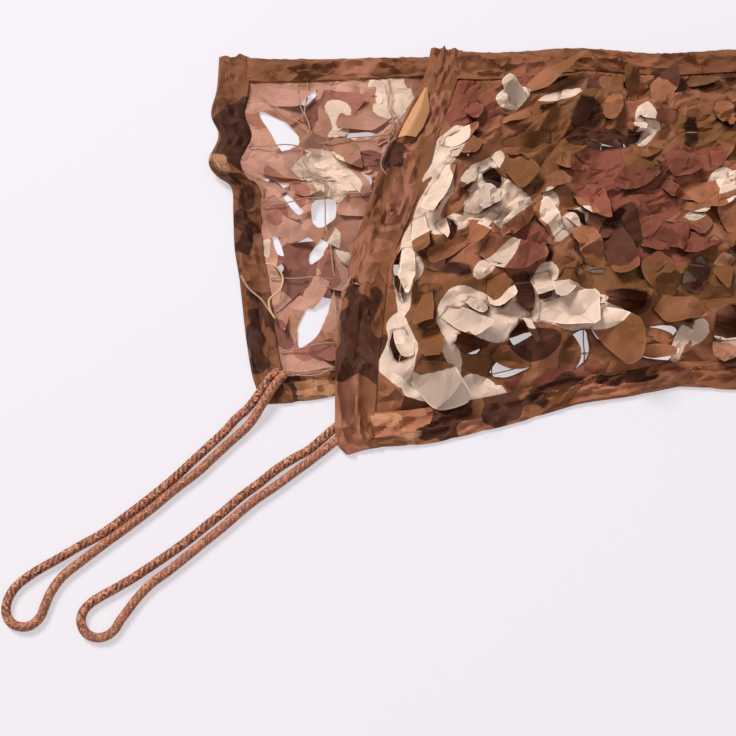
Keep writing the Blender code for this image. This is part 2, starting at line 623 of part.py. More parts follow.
def build_long_tape(name, table, far):
    stations = long_stations()
    shares = np.array([share for share, _ in TAPE_SECTION])
    width = float(table_value(table, 0.0))
    t = NET_WIDTH - shares * width if far else shares * width
    first, last = float(inner_s("lower", t).max()), float(inner_s("upper", t).min())
    stations = [None, *stations[(stations > first + 0.004) & (stations < last - 0.004)], None]
    rings = []
    for k, s in enumerate(stations):
        layer = "lower" if k == 0 else "upper"
        width = float(table_value(table, (0.0 if k == 0 else 1.0) if s is None else s / NET_LENGTH))

        def flat_at(distance):
            t = NET_WIDTH - distance if far else distance
            return (float(inner_s(layer, t)) if s is None else s), t

        rings.append(tape_ring(width, flat_at))
    tape_mesh(name, rings)


def build_end_tape(name, layer):
    rings = []
    for t in end_stations(layer):
        width = float(end_width(layer, t))
        rings.append(tape_ring(width, lambda d, t=t: (d if layer == "lower" else NET_LENGTH - d, t)))
    tape_mesh(name, rings)


# ---------------------------------------------------------------- cords
def build_cord(name, route, diameter, step, finish, resolution):
    line = rounded_line(route)
    length = float(np.linalg.norm(np.diff(line, axis=0), axis=1).sum())
    points = along(line, np.linspace(0, 1, max(8, round(length / step) + 1)))
    curve = bpy.data.curves.new(name, "CURVE")
    curve.dimensions = "3D"
    curve.bevel_depth = diameter / 2
    curve.bevel_resolution = resolution
    curve.use_fill_caps = True
    spline = curve.splines.new("POLY")
    spline.points.add(len(points) - 1)
    for spot, point in zip(spline.points, points):
        spot.co = (*point, 1.0)
    add_object(name, curve, finish)
    return length


# ---------------------------------------------------------------- the whole net
def build():
    clear_scene()
    gaps = build_cloth()
    cells = build_strings()
    build_long_tape("tape_near_side", NEAR_WIDTH, far=False)
    build_long_tape("tape_far_side", FAR_WIDTH, far=True)
    build_end_tape("tape_lower_end", "lower")
    build_end_tape("tape_upper_end", "upper")
    lower = build_cord("cord_loop_lower", LOWER_LOOP, CORD_DIAMETER, CORD_STEP, "cord", 2)
    upper = build_cord("cord_loop_upper", UPPER_LOOP, CORD_DIAMETER, CORD_STEP, "cord", 2)
    build_cord("tie_string", TIE_ROUTE, TIE_DIAMETER, 0.0045, "string", 2)
    print(f"{gaps} gaps in the cloth, {cells} cells in the string net")
    print(f"cord lengths {lower:.3f} m and {upper:.3f} m")


build()
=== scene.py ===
# %% [markdown]
# # Camouflage netting, folded once on a table
# The net is made of few things: one printed cloth with leaves die cut in it, a square string net that the
# cloth is tied to, a wide tape sewn round the edges, and a braided cord loop at each near corner. It lies
# folded once, so the lower layer shows its pale reverse and the upper layer its printed face.
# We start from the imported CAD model, which fixes where everything lies.

# %% Load the frame
import math
import random

import bpy
import numpy as np
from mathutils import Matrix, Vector
from mathutils.geometry import delaunay_2d_cdt


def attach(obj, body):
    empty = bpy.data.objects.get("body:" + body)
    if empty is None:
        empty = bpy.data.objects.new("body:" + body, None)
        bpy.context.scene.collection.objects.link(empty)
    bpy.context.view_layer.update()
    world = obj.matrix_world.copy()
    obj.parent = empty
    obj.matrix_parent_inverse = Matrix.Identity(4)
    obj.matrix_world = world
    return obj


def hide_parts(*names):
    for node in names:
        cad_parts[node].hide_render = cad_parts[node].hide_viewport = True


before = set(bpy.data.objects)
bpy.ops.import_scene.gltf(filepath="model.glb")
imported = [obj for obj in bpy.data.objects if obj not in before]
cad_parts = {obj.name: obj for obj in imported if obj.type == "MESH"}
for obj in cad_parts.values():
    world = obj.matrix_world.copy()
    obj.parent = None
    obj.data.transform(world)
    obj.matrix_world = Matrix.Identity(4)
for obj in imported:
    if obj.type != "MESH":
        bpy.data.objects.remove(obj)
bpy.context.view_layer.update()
ORIGIN = np.array([0.1235, 0.1070, 0.0])  # the origin, in the coordinates that the tables below use
print("CAD nodes:", sorted(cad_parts))

# %% [markdown]
# ## Floor, light and camera
# The netting lies on a white table under soft daylight from above, so the shadows are faint and short.
# A large area lamp above, a weak one across from it and an even world give that, and the white of the table
# glows a little. The camera looks down steeply from the near side, and its distance follows from the size of
# the picture: 0.8 mm of table to a pixel at its middle.

# %% Camera
LENS, SENSOR, PICTURE = 70.0, 36.0, 736  # the first two in mm, the picture in pixels
TABLE_PER_PIXEL = 0.0008
ELEVATION = math.radians(70)
distance = TABLE_PER_PIXEL * LENS / SENSOR * PICTURE
eye = Vector((0, -distance * math.cos(ELEVATION), distance * math.sin(ELEVATION)))

camera = bpy.data.objects.new("camera", bpy.data.cameras.new("camera"))
camera.data.lens, camera.data.sensor_width = LENS, SENSOR
camera.data.clip_start, camera.data.clip_end = 0.01, 20
camera.location = eye - Vector(ORIGIN)
camera.rotation_euler = (-eye).to_track_quat("-Z", "Y").to_euler()
bpy.context.scene.collection.objects.link(camera)
bpy.context.scene.camera = camera
bpy.context.scene.view_settings.view_transform = "Standard"
print(f"camera {distance:.3f} m away")


# %% Floor and lamps
def new_mesh_object(name, points, faces):
    """A mesh in the scene, from its points and the numbers of each face's corners."""
    mesh = bpy.data.meshes.new(name)
    mesh.from_pydata(np.asarray(points).tolist(), [], [list(map(int, f)) for f in faces])
    obj = bpy.data.objects.new(name, mesh)
    bpy.context.scene.collection.objects.link(obj)
    return obj


TABLE_REACH = 16
table = new_mesh_object("table_top", [(x * TABLE_REACH, y * TABLE_REACH, 0)
                                      for x, y in ((-1, -1), (1, -1), (1, 1), (-1, 1))], [(0, 1, 2, 3)])


def lamp(name, place, towards, size, power, colour):
    """A round area lamp of this width in metres and power in watts."""
    data = bpy.data.lights.new(name, "AREA")
    data.shape, data.size, data.energy, data.color = "DISK", size, power, colour
    obj = bpy.data.objects.new(name, data)
    obj.location = place
    obj.rotation_euler = (Vector(towards) - Vector(place)).to_track_quat("-Z", "Y").to_euler()
    bpy.context.scene.collection.objects.link(obj)


lamp("key", (-2.2, 2.2, 3.6), (0, 0, 0), 1.9, 205, (1.0, 0.985, 0.975))
lamp("fill", (1.6, -1.2, 2.8), (0, 0, 0), 2.4, 16, (0.99, 0.98, 1.0))

world = bpy.data.worlds.new("daylight")
world.use_nodes = True
sky = world.node_tree.nodes["Background"]
sky.inputs["Color"].default_value = (0.99, 0.955, 0.97, 1)
sky.inputs["Strength"].default_value = 0.30
bpy.context.scene.world = world

# %% [markdown]
# ## Where the folded net lies
# The net is easiest to think of flat. Let s run along its length and t across it, from the near side.
# Four edge lines on the table say where each layer's sides went when the net was laid and folded, and the
# surface between them is their Coons patch, the standard way to fill four curves. Heights are added on
# top: the edge tapes lie flat on what is below them, the cloth between them is lofted a little, and a half
# turn joins the layers. The lengths and lines below are the same as the CAD model's, so the visible net
# lies exactly on its solid.

# %% Sizes and edge lines
NET_LENGTH, NET_WIDTH = 0.86, 0.34
FOLD_START, FOLD_END = 0.484, 0.508
FOLD_MIDDLE = (FOLD_START + FOLD_END) / 2
KNOT_PITCH, FIRST_KNOT = 0.0675, (0.075, 0.045)
TAPE_THICKNESS, CORD_DIAMETER = 0.0045, 0.007

LOWER_END = (
    (-0.084, -0.031), (-0.092, -0.008), (-0.098, 0.024), (-0.105, 0.076), (-0.110, 0.105),
    (-0.112, 0.136), (-0.114, 0.158), (-0.127, 0.168), (-0.134, 0.184), (-0.127, 0.209),
    (-0.134, 0.230), (-0.130, 0.254), (-0.129, 0.286),
)
UPPER_END = (
    (-0.017, -0.073), (-0.025, -0.062), (-0.026, -0.034), (-0.026, 0.000), (-0.023, 0.034),
    (-0.018, 0.071), (-0.012, 0.098), (-0.004, 0.126), (0.004, 0.151), (0.013, 0.179),
    (0.022, 0.200), (0.032, 0.220), (0.042, 0.244), (0.050, 0.266), (0.054, 0.287),
)
LOWER_NEAR = (
    (-0.084, -0.031), (-0.055, -0.029), (-0.026, -0.024), (0.035, -0.008), (0.100, 0.020),
    (0.165, 0.038), (0.230, 0.038), (0.290, 0.024), (0.335, 0.004), (0.368, -0.008),
)
UPPER_NEAR = (
    (-0.017, -0.073), (0.005, -0.067), (0.046, -0.064), (0.085, -0.055), (0.119, -0.046),
    (0.166, -0.032), (0.213, -0.024), (0.250, -0.017), (0.291, -0.019), (0.334, -0.015),
    (0.368, -0.008),
)
LOWER_FAR = ((-0.129, 0.286), (-0.060, 0.284), (0.040, 0.286), (0.150, 0.283), (0.270, 0.286), (0.368, 0.283))
UPPER_FAR = ((0.054, 0.287), (0.110, 0.283), (0.180, 0.287), (0.250, 0.282), (0.320, 0.286), (0.368, 0.283))
FOLD_LINE = ((0.368, -0.008), (0.373, 0.050), (0.366, 0.120), (0.372, 0.200), (0.368, 0.283))

# (share of the edge's length, width of the tape)
LOWER_END_WIDTH = ((0.00, 0.026), (0.30, 0.025), (0.55, 0.024), (0.66, 0.026), (0.80, 0.029), (1.00, 0.028))
UPPER_END_WIDTH = (
    (0.00, 0.026), (0.12, 0.029), (0.26, 0.032), (0.40, 0.031), (0.55, 0.037), (0.68, 0.040),
    (0.80, 0.034), (1.00, 0.030),
)
NEAR_WIDTH = (
    (0.00, 0.027), (0.30, 0.027), (0.56, 0.026), (0.66, 0.025), (0.76, 0.024), (0.85, 0.026),
    (0.93, 0.029), (1.00, 0.027),
)
FAR_WIDTH = ((0.00, 0.027), (0.25, 0.025), (0.50, 0.027), (0.75, 0.025), (1.00, 0.027))

LAYER_GAP, CLOTH_LOFT = 0.01175, 0.0055
LOFT_START, LOFT_RUN = 0.030, 0.040
STEP_OUT, STEP_RUN = 0.030, 0.036
HUMP_RUN = 0.03  # the upper layer's humps grow over this length past the fold
HUMPS = (
    # s, t, reach_s, reach_t, height
    (0.008, 0.213, 0.024, 0.024, 0.0075), (0.850, 0.232, 0.030, 0.034, 0.0070),
    (0.760, 0.215, 0.045, 0.045, 0.0060), (0.700, 0.090, 0.050, 0.035, 0.0050),
    (0.620, 0.180, 0.060, 0.050, 0.0080), (0.560, 0.090, 0.045, 0.045, 0.0050),
    (0.545, 0.260, 0.045, 0.040, 0.0060), (0.690, 0.290, 0.050, 0.030, 0.0060),
)


# %% Curves and the laid surface
def smooth(value):
    """0 up to 0, 1 from 1 on, and a soft S between."""
    value = np.clip(value, 0.0, 1.0)
    return value * value * (3.0 - 2.0 * value)


def rounded_line(points, samples=24):
    """A dense line on the Catmull-Rom curve through the points."""
    p = np.array(points, float)
    p = np.vstack([2 * p[0] - p[1], p, 2 * p[-1] - p[-2]])
    f = np.linspace(0, 1, samples, endpoint=False)[:, None]
    runs = []
    for a, b, c, d in zip(p[:-3], p[1:-2], p[2:-1], p[3:]):
        runs.append(0.5 * (2 * b + (c - a) * f + (2 * a - 5 * b + 4 * c - d) * f**2
                           + (3 * b - a - 3 * c + d) * f**3))
    return np.vstack(runs + [p[-2:-1]])


def along(line, share):
    """The points at these shares of a line's length."""
    run = np.concatenate([[0], np.cumsum(np.linalg.norm(np.diff(line, axis=0), axis=1))])
    at = np.asarray(share, float) * run[-1]
    return np.stack([np.interp(at, run, line[:, k]) for k in range(line.shape[1])], axis=-1)


def table_value(rows, share):
    """The value at a share of the length, from a table's rows of (share, value)."""
    rows = np.array(rows, float)
    return np.interp(share, rows[:, 0], rows[:, 1])


EDGES = {
    "lower": [rounded_line(p) for p in (LOWER_NEAR, LOWER_FAR, LOWER_END, FOLD_LINE)],
    "upper": [rounded_line(p) for p in (UPPER_NEAR, UPPER_FAR, UPPER_END, FOLD_LINE)],
}


def patch(layer, share_s, share_t):
    """A layer's Coons patch: the two blends between opposite edges, less the blend of the corners."""
    near, far, end, bend = EDGES[layer]
    u, v = share_s[:, None], share_t[:, None]
    corners = (1 - u) * (1 - v) * near[0] + u * (1 - v) * near[-1] + (1 - u) * v * far[0] + u * v * far[-1]
    return ((1 - v) * along(near, share_s) + v * along(far, share_s)
            + (1 - u) * along(end, share_t) + u * along(bend, share_t) - corners)


def net_surface(s, t):
    """Where the string net lies at flat (s, t), and which way the cloth faces there."""
    s, t = (np.asarray(x, float).ravel() for x in np.broadcast_arrays(s, t))
    share_t = t / NET_WIDTH
    lower = patch("lower", np.clip(s / FOLD_START, 0, 1), share_t)
    upper = patch("upper", np.clip((NET_LENGTH - s) / (NET_LENGTH - FOLD_END), 0, 1), share_t)
    side = np.minimum(t, NET_WIDTH - t)
    half = TAPE_THICKNESS / 2
    swell = np.zeros_like(s)
    for hs, ht, reach_s, reach_t, height in HUMPS:
        swell += height * np.exp(-(((s - hs) / reach_s) ** 2) - ((t - ht) / reach_t) ** 2)
    low_z = half + CLOTH_LOFT * smooth((np.minimum(side, s) - LOFT_START) / LOFT_RUN)
    low_z = low_z + np.where(s < FOLD_START, swell, 0.0)
    near = EDGES["lower"][0]
    inside = upper[:, 1] - np.interp(upper[:, 0], near[:, 0], near[:, 1])
    top_z = half + LAYER_GAP * smooth((inside + STEP_OUT) / STEP_RUN)
    top_z = top_z + CLOTH_LOFT * smooth((np.minimum(side, NET_LENGTH - s) - LOFT_START) / LOFT_RUN)
    top_z = top_z + np.where(s > FOLD_END, swell * smooth((s - FOLD_END) / HUMP_RUN), 0.0)
    turn = np.pi * np.clip((s - FOLD_START) / (FOLD_END - FOLD_START), 0, 1)
    radius = (top_z - low_z) / 2
    where = np.where((s < FOLD_START)[:, None], np.column_stack([lower, low_z]),
                     np.column_stack([upper, top_z]))
    bending = (s >= FOLD_START) & (s <= FOLD_END)
    bent = np.column_stack([lower[:, 0] + radius * np.sin(turn), lower[:, 1],
                            (top_z + low_z) / 2 - radius * np.cos(turn)])
    where[bending] = bent[bending]
    out = np.column_stack([np.sin(turn), np.zeros_like(turn), -np.cos(turn)])
    return where - ORIGIN, out


def lay(s, t, offset=0.0):
    """Places of flat points, this far off the string net's surface on the side that the cloth faces."""
    where, out = net_surface(s, t)
    return where + out * np.broadcast_to(offset, len(where))[:, None]


def end_width(layer, t):
    """Width of the tape across a layer's end."""
    return table_value(LOWER_END_WIDTH if layer == "lower" else UPPER_END_WIDTH, np.asarray(t) / NET_WIDTH)


def side_width(side, s):
    """Width of the tape along the near or the far side."""
    return table_value(NEAR_WIDTH if side == "near" else FAR_WIDTH, np.asarray(s) / NET_LENGTH)


def room_inside(s, t):
    """Flat distance from the edge tapes, positive inside."""
    return np.minimum.reduce([
        t - side_width("near", s), NET_WIDTH - side_width("far", s) - t,
        s - end_width("lower", t), NET_LENGTH - end_width("upper", t) - s])


probe = lay([0.0, NET_LENGTH], [0.0, 0.0])
print("lower and upper near corners at", np.round(probe, 3).tolist())

# %% [markdown]
# ## Building materials with arithmetic
# A finish here is a colour, a roughness and a fine relief that all come from maths on the surface, so it
# stays sharp at any distance. Wiring such maths by hand takes dozens of nodes. A small class that wraps a
# socket and lets Python's own + - * build the Math nodes keeps each finish readable.


# %% Signals and paints
class Signal:
    """A shader socket that Python arithmetic can work on."""

    def __init__(self, paint, socket):
        self.paint, self.socket = paint, socket

    def maths(self, operation, first, second=0.0):
        return self.paint.node("Math", {"operation": operation}, {0: first, 1: second})

    def __add__(self, other):
        return self.maths("ADD", self, other)

    def __mul__(self, other):
        return self.maths("MULTIPLY", self, other)

    def __sub__(self, other):
        return self.maths("SUBTRACT", self, other)

    def __rsub__(self, other):
        return self.maths("SUBTRACT", other, self)

    def named(self, operation, other=0.0):
        """Any other Math operation by name, such as FLOOR or MAXIMUM."""
        return self.maths(operation, self, other)


def tone(red, green, blue):
    """A colour as a screen shows it, 0 to 255, in the linear values that shaders take."""
    parts = [channel / 255 for channel in (red, green, blue)]
    return (*(p / 12.92 if p <= 0.04045 else ((p + 0.055) / 1.055) ** 2.4 for p in parts), 1.0)


class Paint:
    """One material, with the one way used here to add a node to it."""

    def __init__(self, name, **constants):
        self.material = bpy.data.materials.new(name)
        self.material.use_nodes = True
        self.tree = self.material.node_tree
        self.surface = self.tree.nodes["Principled BSDF"]
        for socket, value in constants.items():
            self.surface.inputs[socket.replace("_", " ")].default_value = value

    def node(self, kind, settings, inputs, out=0):
        made = self.tree.nodes.new("ShaderNode" + kind)
        for name, value in settings.items():
            setattr(made, name, value)
        for key, value in inputs.items():
            if isinstance(value, Signal):
                self.tree.links.new(value.socket, made.inputs[key])
            else:
                made.inputs[key].default_value = value
        return Signal(self, made.outputs[out])

    def field(self, name, out="Fac"):
        """A value stored on the mesh's points."""
        return self.node("Attribute", {"attribute_name": name}, {}, out)

    def noise(self, where, scale, detail=2.0, out=0):
        return self.node("TexNoise", {}, {"Vector": where, "Scale": scale, "Detail": detail}, out)

    def ramp(self, value, low, high):
        """0 below low, 1 above high and smooth between: a narrow range makes a crisp edge."""
        return self.node("MapRange", {"interpolation_type": "SMOOTHSTEP"}, {0: value, 1: low, 2: high})

    def mix(self, factor, first, second):
        return self.node("Mix", {"data_type": "RGBA"}, {0: factor, 6: first, 7: second}, 2)

    def set(self, socket, value):
        self.tree.links.new(value.socket, self.surface.inputs[socket])

    def relief(self, height, depth, strength=1.0):
        bump = self.node("Bump", {}, {"Height": height, "Strength": strength, "Distance": depth})
        self.set("Normal", bump)


def store(obj, name, values):
    """Keeps one number (or one vector) for each point of a mesh, for its shader to read."""
    values = np.asarray(values, np.float32)
    vector = values.ndim == 2
    made = obj.data.attributes.new(name, "FLOAT_VECTOR" if vector else "FLOAT", "POINT")
    made.data.foreach_set("vector" if vector else "value", values.ravel())


def finish_piece(obj, paint, slot, *nodes):
    """Gives a piece its finish, hangs it under the root body and hides the CAD nodes that it stands for."""
    obj.data.materials.append(paint.material)
    obj.data.shade_smooth()
    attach(obj, "root")
    if nodes:
        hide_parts(*nodes)
    return obj


# %% [markdown]
# ## The corner cords
# Each near corner has a loop of round cord: one braided cord, out of the tape and back into it. The braid
# is sixteen strands, eight winding each way and passing over and under each other. We loft rings of points
# along the loop's line and raise them where a strand crosses, then store where each point is in the braid's
# pattern so that the shader can colour whole strands. Because rings and pattern share the same maths, the
# coloured flecks sit exactly on the raised strands. The points are the CAD model's, but for the loops' ends:
# those run on over the hem and down into the tape.

# %% The loops' lines, out of the tape, round and back
LOWER_LOOP = (
    (-0.0655, -0.0062, 0.0050), (-0.0686, -0.0114, 0.0086), (-0.0745, -0.0190, 0.0094),
    (-0.0815, -0.0305, 0.0088), (-0.0885, -0.0420, 0.0058), (-0.0955, -0.0510, 0.0037),
    (-0.107, -0.062, 0.0036), (-0.120, -0.075, 0.0036), (-0.132, -0.087, 0.0036),
    (-0.149, -0.101, 0.0036), (-0.166, -0.116, 0.0036), (-0.183, -0.130, 0.0036),
    (-0.201, -0.144, 0.0036), (-0.217, -0.157, 0.0036), (-0.231, -0.169, 0.0036),
    (-0.239, -0.181, 0.0036), (-0.243, -0.192, 0.0036), (-0.2455, -0.1995, 0.0036),
    (-0.251, -0.2055, 0.0036), (-0.258, -0.2075, 0.0036), (-0.2655, -0.2055, 0.0036),
    (-0.2705, -0.200, 0.0036), (-0.272, -0.1925, 0.0036), (-0.270, -0.184, 0.0036),
    (-0.264, -0.175, 0.0036), (-0.251, -0.165, 0.0036), (-0.236, -0.156, 0.0036),
    (-0.220, -0.146, 0.0036), (-0.203, -0.136, 0.0036), (-0.185, -0.122, 0.0036),
    (-0.168, -0.108, 0.0036), (-0.151, -0.093, 0.0036), (-0.138, -0.080, 0.0036),
    (-0.125, -0.067, 0.0036), (-0.114, -0.056, 0.0036), (-0.104, -0.044, 0.0036),
    (-0.0955, -0.0360, 0.0036), (-0.0875, -0.0255, 0.0046), (-0.0815, -0.0170, 0.0074),
    (-0.0755, -0.0090, 0.0080), (-0.0720, -0.0050, 0.0050),
)
UPPER_LOOP = (
    (-0.0200, -0.0465, 0.0030), (-0.0282, -0.0532, 0.0036), (-0.036, -0.0605, 0.0036),
    (-0.047, -0.070, 0.0036), (-0.059, -0.077, 0.0036), (-0.072, -0.086, 0.0036),
    (-0.085, -0.097, 0.0036), (-0.098, -0.107, 0.0036), (-0.111, -0.119, 0.0036),
    (-0.124, -0.130, 0.0036), (-0.137, -0.141, 0.0036), (-0.150, -0.151, 0.0036),
    (-0.164, -0.161, 0.0036), (-0.177, -0.170, 0.0036), (-0.190, -0.178, 0.0036),
    (-0.202, -0.185, 0.0036), (-0.209, -0.190, 0.0036), (-0.2135, -0.1955, 0.0036),
    (-0.215, -0.2025, 0.0036), (-0.213, -0.209, 0.0036), (-0.2085, -0.2135, 0.0036),
    (-0.202, -0.2155, 0.0036), (-0.195, -0.214, 0.0036), (-0.1895, -0.2095, 0.0036),
    (-0.1855, -0.2025, 0.0036), (-0.181, -0.196, 0.0036), (-0.174, -0.186, 0.0036),
    (-0.164, -0.175, 0.0036), (-0.151, -0.165, 0.0036), (-0.138, -0.154, 0.0036),
    (-0.124, -0.142, 0.0036), (-0.111, -0.131, 0.0036), (-0.099, -0.120, 0.0036),
    (-0.086, -0.109, 0.0036), (-0.072, -0.099, 0.0036), (-0.059, -0.089, 0.0036),
    (-0.046, -0.079, 0.0036), (-0.036, -0.0710, 0.0036), (-0.0280, -0.0641, 0.0036),
    (-0.0200, -0.0575, 0.0030),
)


# %% Lofting along a line
def line_frames(line, step):
    """Evenly spaced points of a line, with a side and an up direction at each."""
    length = np.linalg.norm(np.diff(line, axis=0), axis=1).sum()
    centre = along(line, np.linspace(0, 1, max(4, round(length / step) + 1)))
    tangent = np.gradient(centre, axis=0)
    tangent /= np.linalg.norm(tangent, axis=1, keepdims=True)
    side = np.cross(tangent, (0.0, 0.0, 1.0))
    side /= np.linalg.norm(side, axis=1, keepdims=True) + 1e-12
    return centre, side, np.cross(side, tangent), length


def loft(rings):
    """Points and faces of a closed tube through an array of rings (ring, point round it, xyz)."""
    count, round_it = rings.shape[:2]
    start = np.arange(count - 1)[:, None] * round_it
    k = np.arange(round_it)[None]
    n = (k + 1) % round_it
    faces = np.stack([start + k, start + n, start + round_it + n, start + round_it + k], axis=-1)
    caps = [list(range(round_it))[::-1], list(range((count - 1) * round_it, count * round_it))]
    return rings.reshape(-1, 3), faces.reshape(-1, 4).tolist() + caps


def round_tube(line, step, radius, sides):
    """A tube round a line. radius is a number, or a function of (distance along, angle) arrays."""
    centre, side, up, length = line_frames(line, step)
    x = np.linspace(0, length, len(centre))[:, None]
    angle = np.linspace(0, 2 * np.pi, sides, endpoint=False)[None]
    reach = radius(x, angle) if callable(radius) else np.full((len(centre), sides), radius)
    rings = centre[:, None] + reach[..., None] * (np.cos(angle)[..., None] * side[:, None]
                                                  + np.sin(angle)[..., None] * up[:, None])
    return rings, centre, length


# %% Two braided loops
STRANDS, BRAID_PITCH = 8, 0.0024  # how many strands wind each way, and the cord's length from row to row
RING_STEP, RING_POINTS = 0.0006, 32
STRAND_SINK, STRAND_RISE = 0.00042, 0.00055  # how far in a strand's edges lie, and how high its crown stands
CORD_LOWEST = 0.00012


def braid_height(x, angle):
    """How high the top strand stands, 0 to 1, at a distance along and an angle round the cord."""
    first = STRANDS * angle / (2 * np.pi) + x / BRAID_PITCH
    second = STRANDS * angle / (2 * np.pi) - x / BRAID_PITCH
    on_top = (np.floor(first) + np.floor(second)) % 2 < 1
    across = np.where(on_top, first, second) % 1.0
    return np.sqrt(np.clip(1.0 - (2 * across - 1) ** 2, 0, 1))


def braided_loop(name, route, lighter):
    """One loop's cord. Its first half is lighter where lighter is -1, and its second half where it is 1."""
    line = rounded_line(route) - ORIGIN
    radius = CORD_DIAMETER / 2
    rings, centre, length = round_tube(
        line, RING_STEP, lambda x, angle: radius - STRAND_SINK + STRAND_RISE * braid_height(x, angle),
        RING_POINTS)
    points, faces = loft(rings)
    points[:, 2] = np.maximum(points[:, 2], CORD_LOWEST)
    cord = new_mesh_object(name, points, faces)
    x = np.repeat(np.linspace(0, length, len(centre)), RING_POINTS)
    store(cord, "lighter", smooth(lighter * (x / length - 0.5) / 0.04 + 0.5))
    pattern = cord.data.uv_layers.new(name="braid")
    quads = np.array(faces[:-2])
    turn = np.tile(np.arange(RING_POINTS), len(centre) - 1)
    u = np.stack([turn, turn + 1, turn + 1, turn], axis=1) * STRANDS / RING_POINTS
    v = x[quads] / BRAID_PITCH
    uv = np.zeros((len(cord.data.loops), 2), np.float32)
    uv[:quads.size] = np.stack([u.ravel(), v.ravel()], axis=1)
    pattern.data.foreach_set("uv", uv.ravel())
    finish_piece(cord, cord_paint, "cord", name.replace("braided_", "cord_"))
    print(f"{name}: {length:.3f} m, {len(cord.data.polygons)} faces, from {centre[0].round(4)} "
          f"to {centre[-1].round(4)}")


cord_paint = Paint("braided_cord", Roughness=0.62, Sheen_Weight=0.12)
pattern = cord_paint.node("UVMap", {"uv_map": "braid"}, {})
round_it = cord_paint.node("SeparateXYZ", {}, {0: pattern}, 0)
along_it = cord_paint.node("SeparateXYZ", {}, {0: pattern}, 1)
first, second = round_it + along_it, round_it - along_it
first_row, second_row = first.named("FLOOR"), second.named("FLOOR")
odd = ((first_row + second_row) * 0.5).named("FRACT") * 2.0
strand = (odd * (second_row.named("FLOORED_MODULO", float(STRANDS)) + 20.0)
          + (1.0 - odd) * first_row.named("FLOORED_MODULO", float(STRANDS)))
lot = cord_paint.node("TexWhiteNoise", {"noise_dimensions": "1D"}, {"W": strand * 0.731 + 3.7}, 0)
fleck = cord_paint.node("TexWhiteNoise", {"noise_dimensions": "2D"},
                        {"Vector": cord_paint.node("CombineXYZ", {}, {0: first_row, 1: second_row})}, 0)
across = (odd * second + (1.0 - odd) * first).named("FRACT") * 2.0 - 1.0
crown = 1.0 - across * across
light_strand = (strand * 0.5).named("FRACT") * 2.0
body = cord_paint.mix(light_strand, tone(132, 76, 55), tone(188, 118, 88))
body = cord_paint.mix(cord_paint.ramp(lot, 0.74, 0.76), body, tone(206, 124, 78))
body = cord_paint.mix(cord_paint.ramp(fleck, 0.80, 0.84), body, tone(226, 158, 120))
body = cord_paint.mix(cord_paint.ramp(fleck, 0.09, 0.06), body, tone(84, 44, 32))
body = cord_paint.mix(cord_paint.field("lighter") * 0.34, body, tone(206, 134, 100))
shade = cord_paint.ramp(crown, 0.0, 0.75) * 0.70 + 0.30
cord_paint.set("Base Color", cord_paint.mix(shade, tone(58, 30, 24), body))
cord_paint.relief(crown, 0.0005, 0.6)

braided_loop("braided_loop_lower", LOWER_LOOP, -1)
braided_loop("braided_loop_upper", UPPER_LOOP, 1)

# %% [markdown]
# ## Cutting the cloth
# The garnish is one cloth with leaves die cut in it: each cut runs round a leaf and stops short, so the leaf
# stays joined along a hinge and can curl away. We triangulate the flat cloth with every cut as an edge, then
# double the points of each cut, so that leaf and cloth part there. The leaves that stand open come first, at
# the same places as the gaps in the CAD model, and others fill the cloth between them as plain slits. Some
# slits have a place of their own: a search nudges each one from there until it finds room, or leaves it out.

# %% Leaf tables
# flat centre s, t, direction of the tip in degrees, length, width
PLACED_LEAVES = (
    (0.052, 0.266, 116, 0.052, 0.021), (0.078, 0.299, 61, 0.018, 0.010), (0.041, 0.209, 115, 0.022, 0.011),
    (0.052, 0.178, 302, 0.036, 0.007), (0.075, 0.169, 268, 0.030, 0.023), (0.067, 0.133, 234, 0.030, 0.012),
    (0.054, 0.069, 241, 0.056, 0.021), (0.119, 0.253, 356, 0.028, 0.011), (0.036, 0.140, 281, 0.024, 0.007),
    (0.767, 0.066, 207, 0.022, 0.012), (0.815, 0.073, 263, 0.029, 0.012), (0.654, 0.079, 194, 0.032, 0.021),
    (0.603, 0.100, 111, 0.038, 0.018), (0.705, 0.265, 274, 0.028, 0.017), (0.661, 0.158, 116, 0.018, 0.011),
    (0.676, 0.232, 192, 0.044, 0.010), (0.609, 0.243, 262, 0.036, 0.011), (0.738, 0.046, 359, 0.030, 0.018),
    (0.690, 0.047, 112, 0.028, 0.022), (0.584, 0.056, 92, 0.030, 0.022), (0.817, 0.130, 269, 0.048, 0.013),
    (0.765, 0.206, 234, 0.028, 0.012), (0.777, 0.128, 209, 0.024, 0.012), (0.712, 0.133, 235, 0.021, 0.013),
    (0.727, 0.098, 260, 0.040, 0.014), (0.626, 0.050, 198, 0.028, 0.010), (0.572, 0.121, 135, 0.022, 0.012),
    (0.618, 0.181, 211, 0.027, 0.011), (0.634, 0.125, 232, 0.026, 0.011), (0.691, 0.160, 210, 0.026, 0.011),
    (0.761, 0.266, 156, 0.026, 0.012), (0.790, 0.166, 234, 0.030, 0.012), (0.760, 0.093, 221, 0.026, 0.012),
    (0.676, 0.113, 225, 0.018, 0.011),
)
# placed leaves that lie across their gap, and how far each is moved aside, as a share of its length
SWUNG = {10: -0.25, 17: 0.36, 18: -0.42, 20: -0.15, 23: 0.30, 25: 0.22, 27: 0.30, 28: -0.30, 29: 0.30,
         30: 0.25, 31: 0.25, 32: 0.10}
LEAF_SIZES = ((0.044, 16), (0.036, 30), (0.028, 40))  # (length, how many more at most) of the open leaves
SLIT_SIZES = ((0.070, 50), (0.056, 70), (0.044, 60), (0.034, 40))
SEEN_SLIT_SIZES = ((0.040, 14), (0.031, 24), (0.024, 30))  # for the part of the lower layer that shows
SEEN_S = 0.13
LEAF_SLIM, LEAF_TRIES, LEAF_SEED = (0.40, 0.56), 30, 11
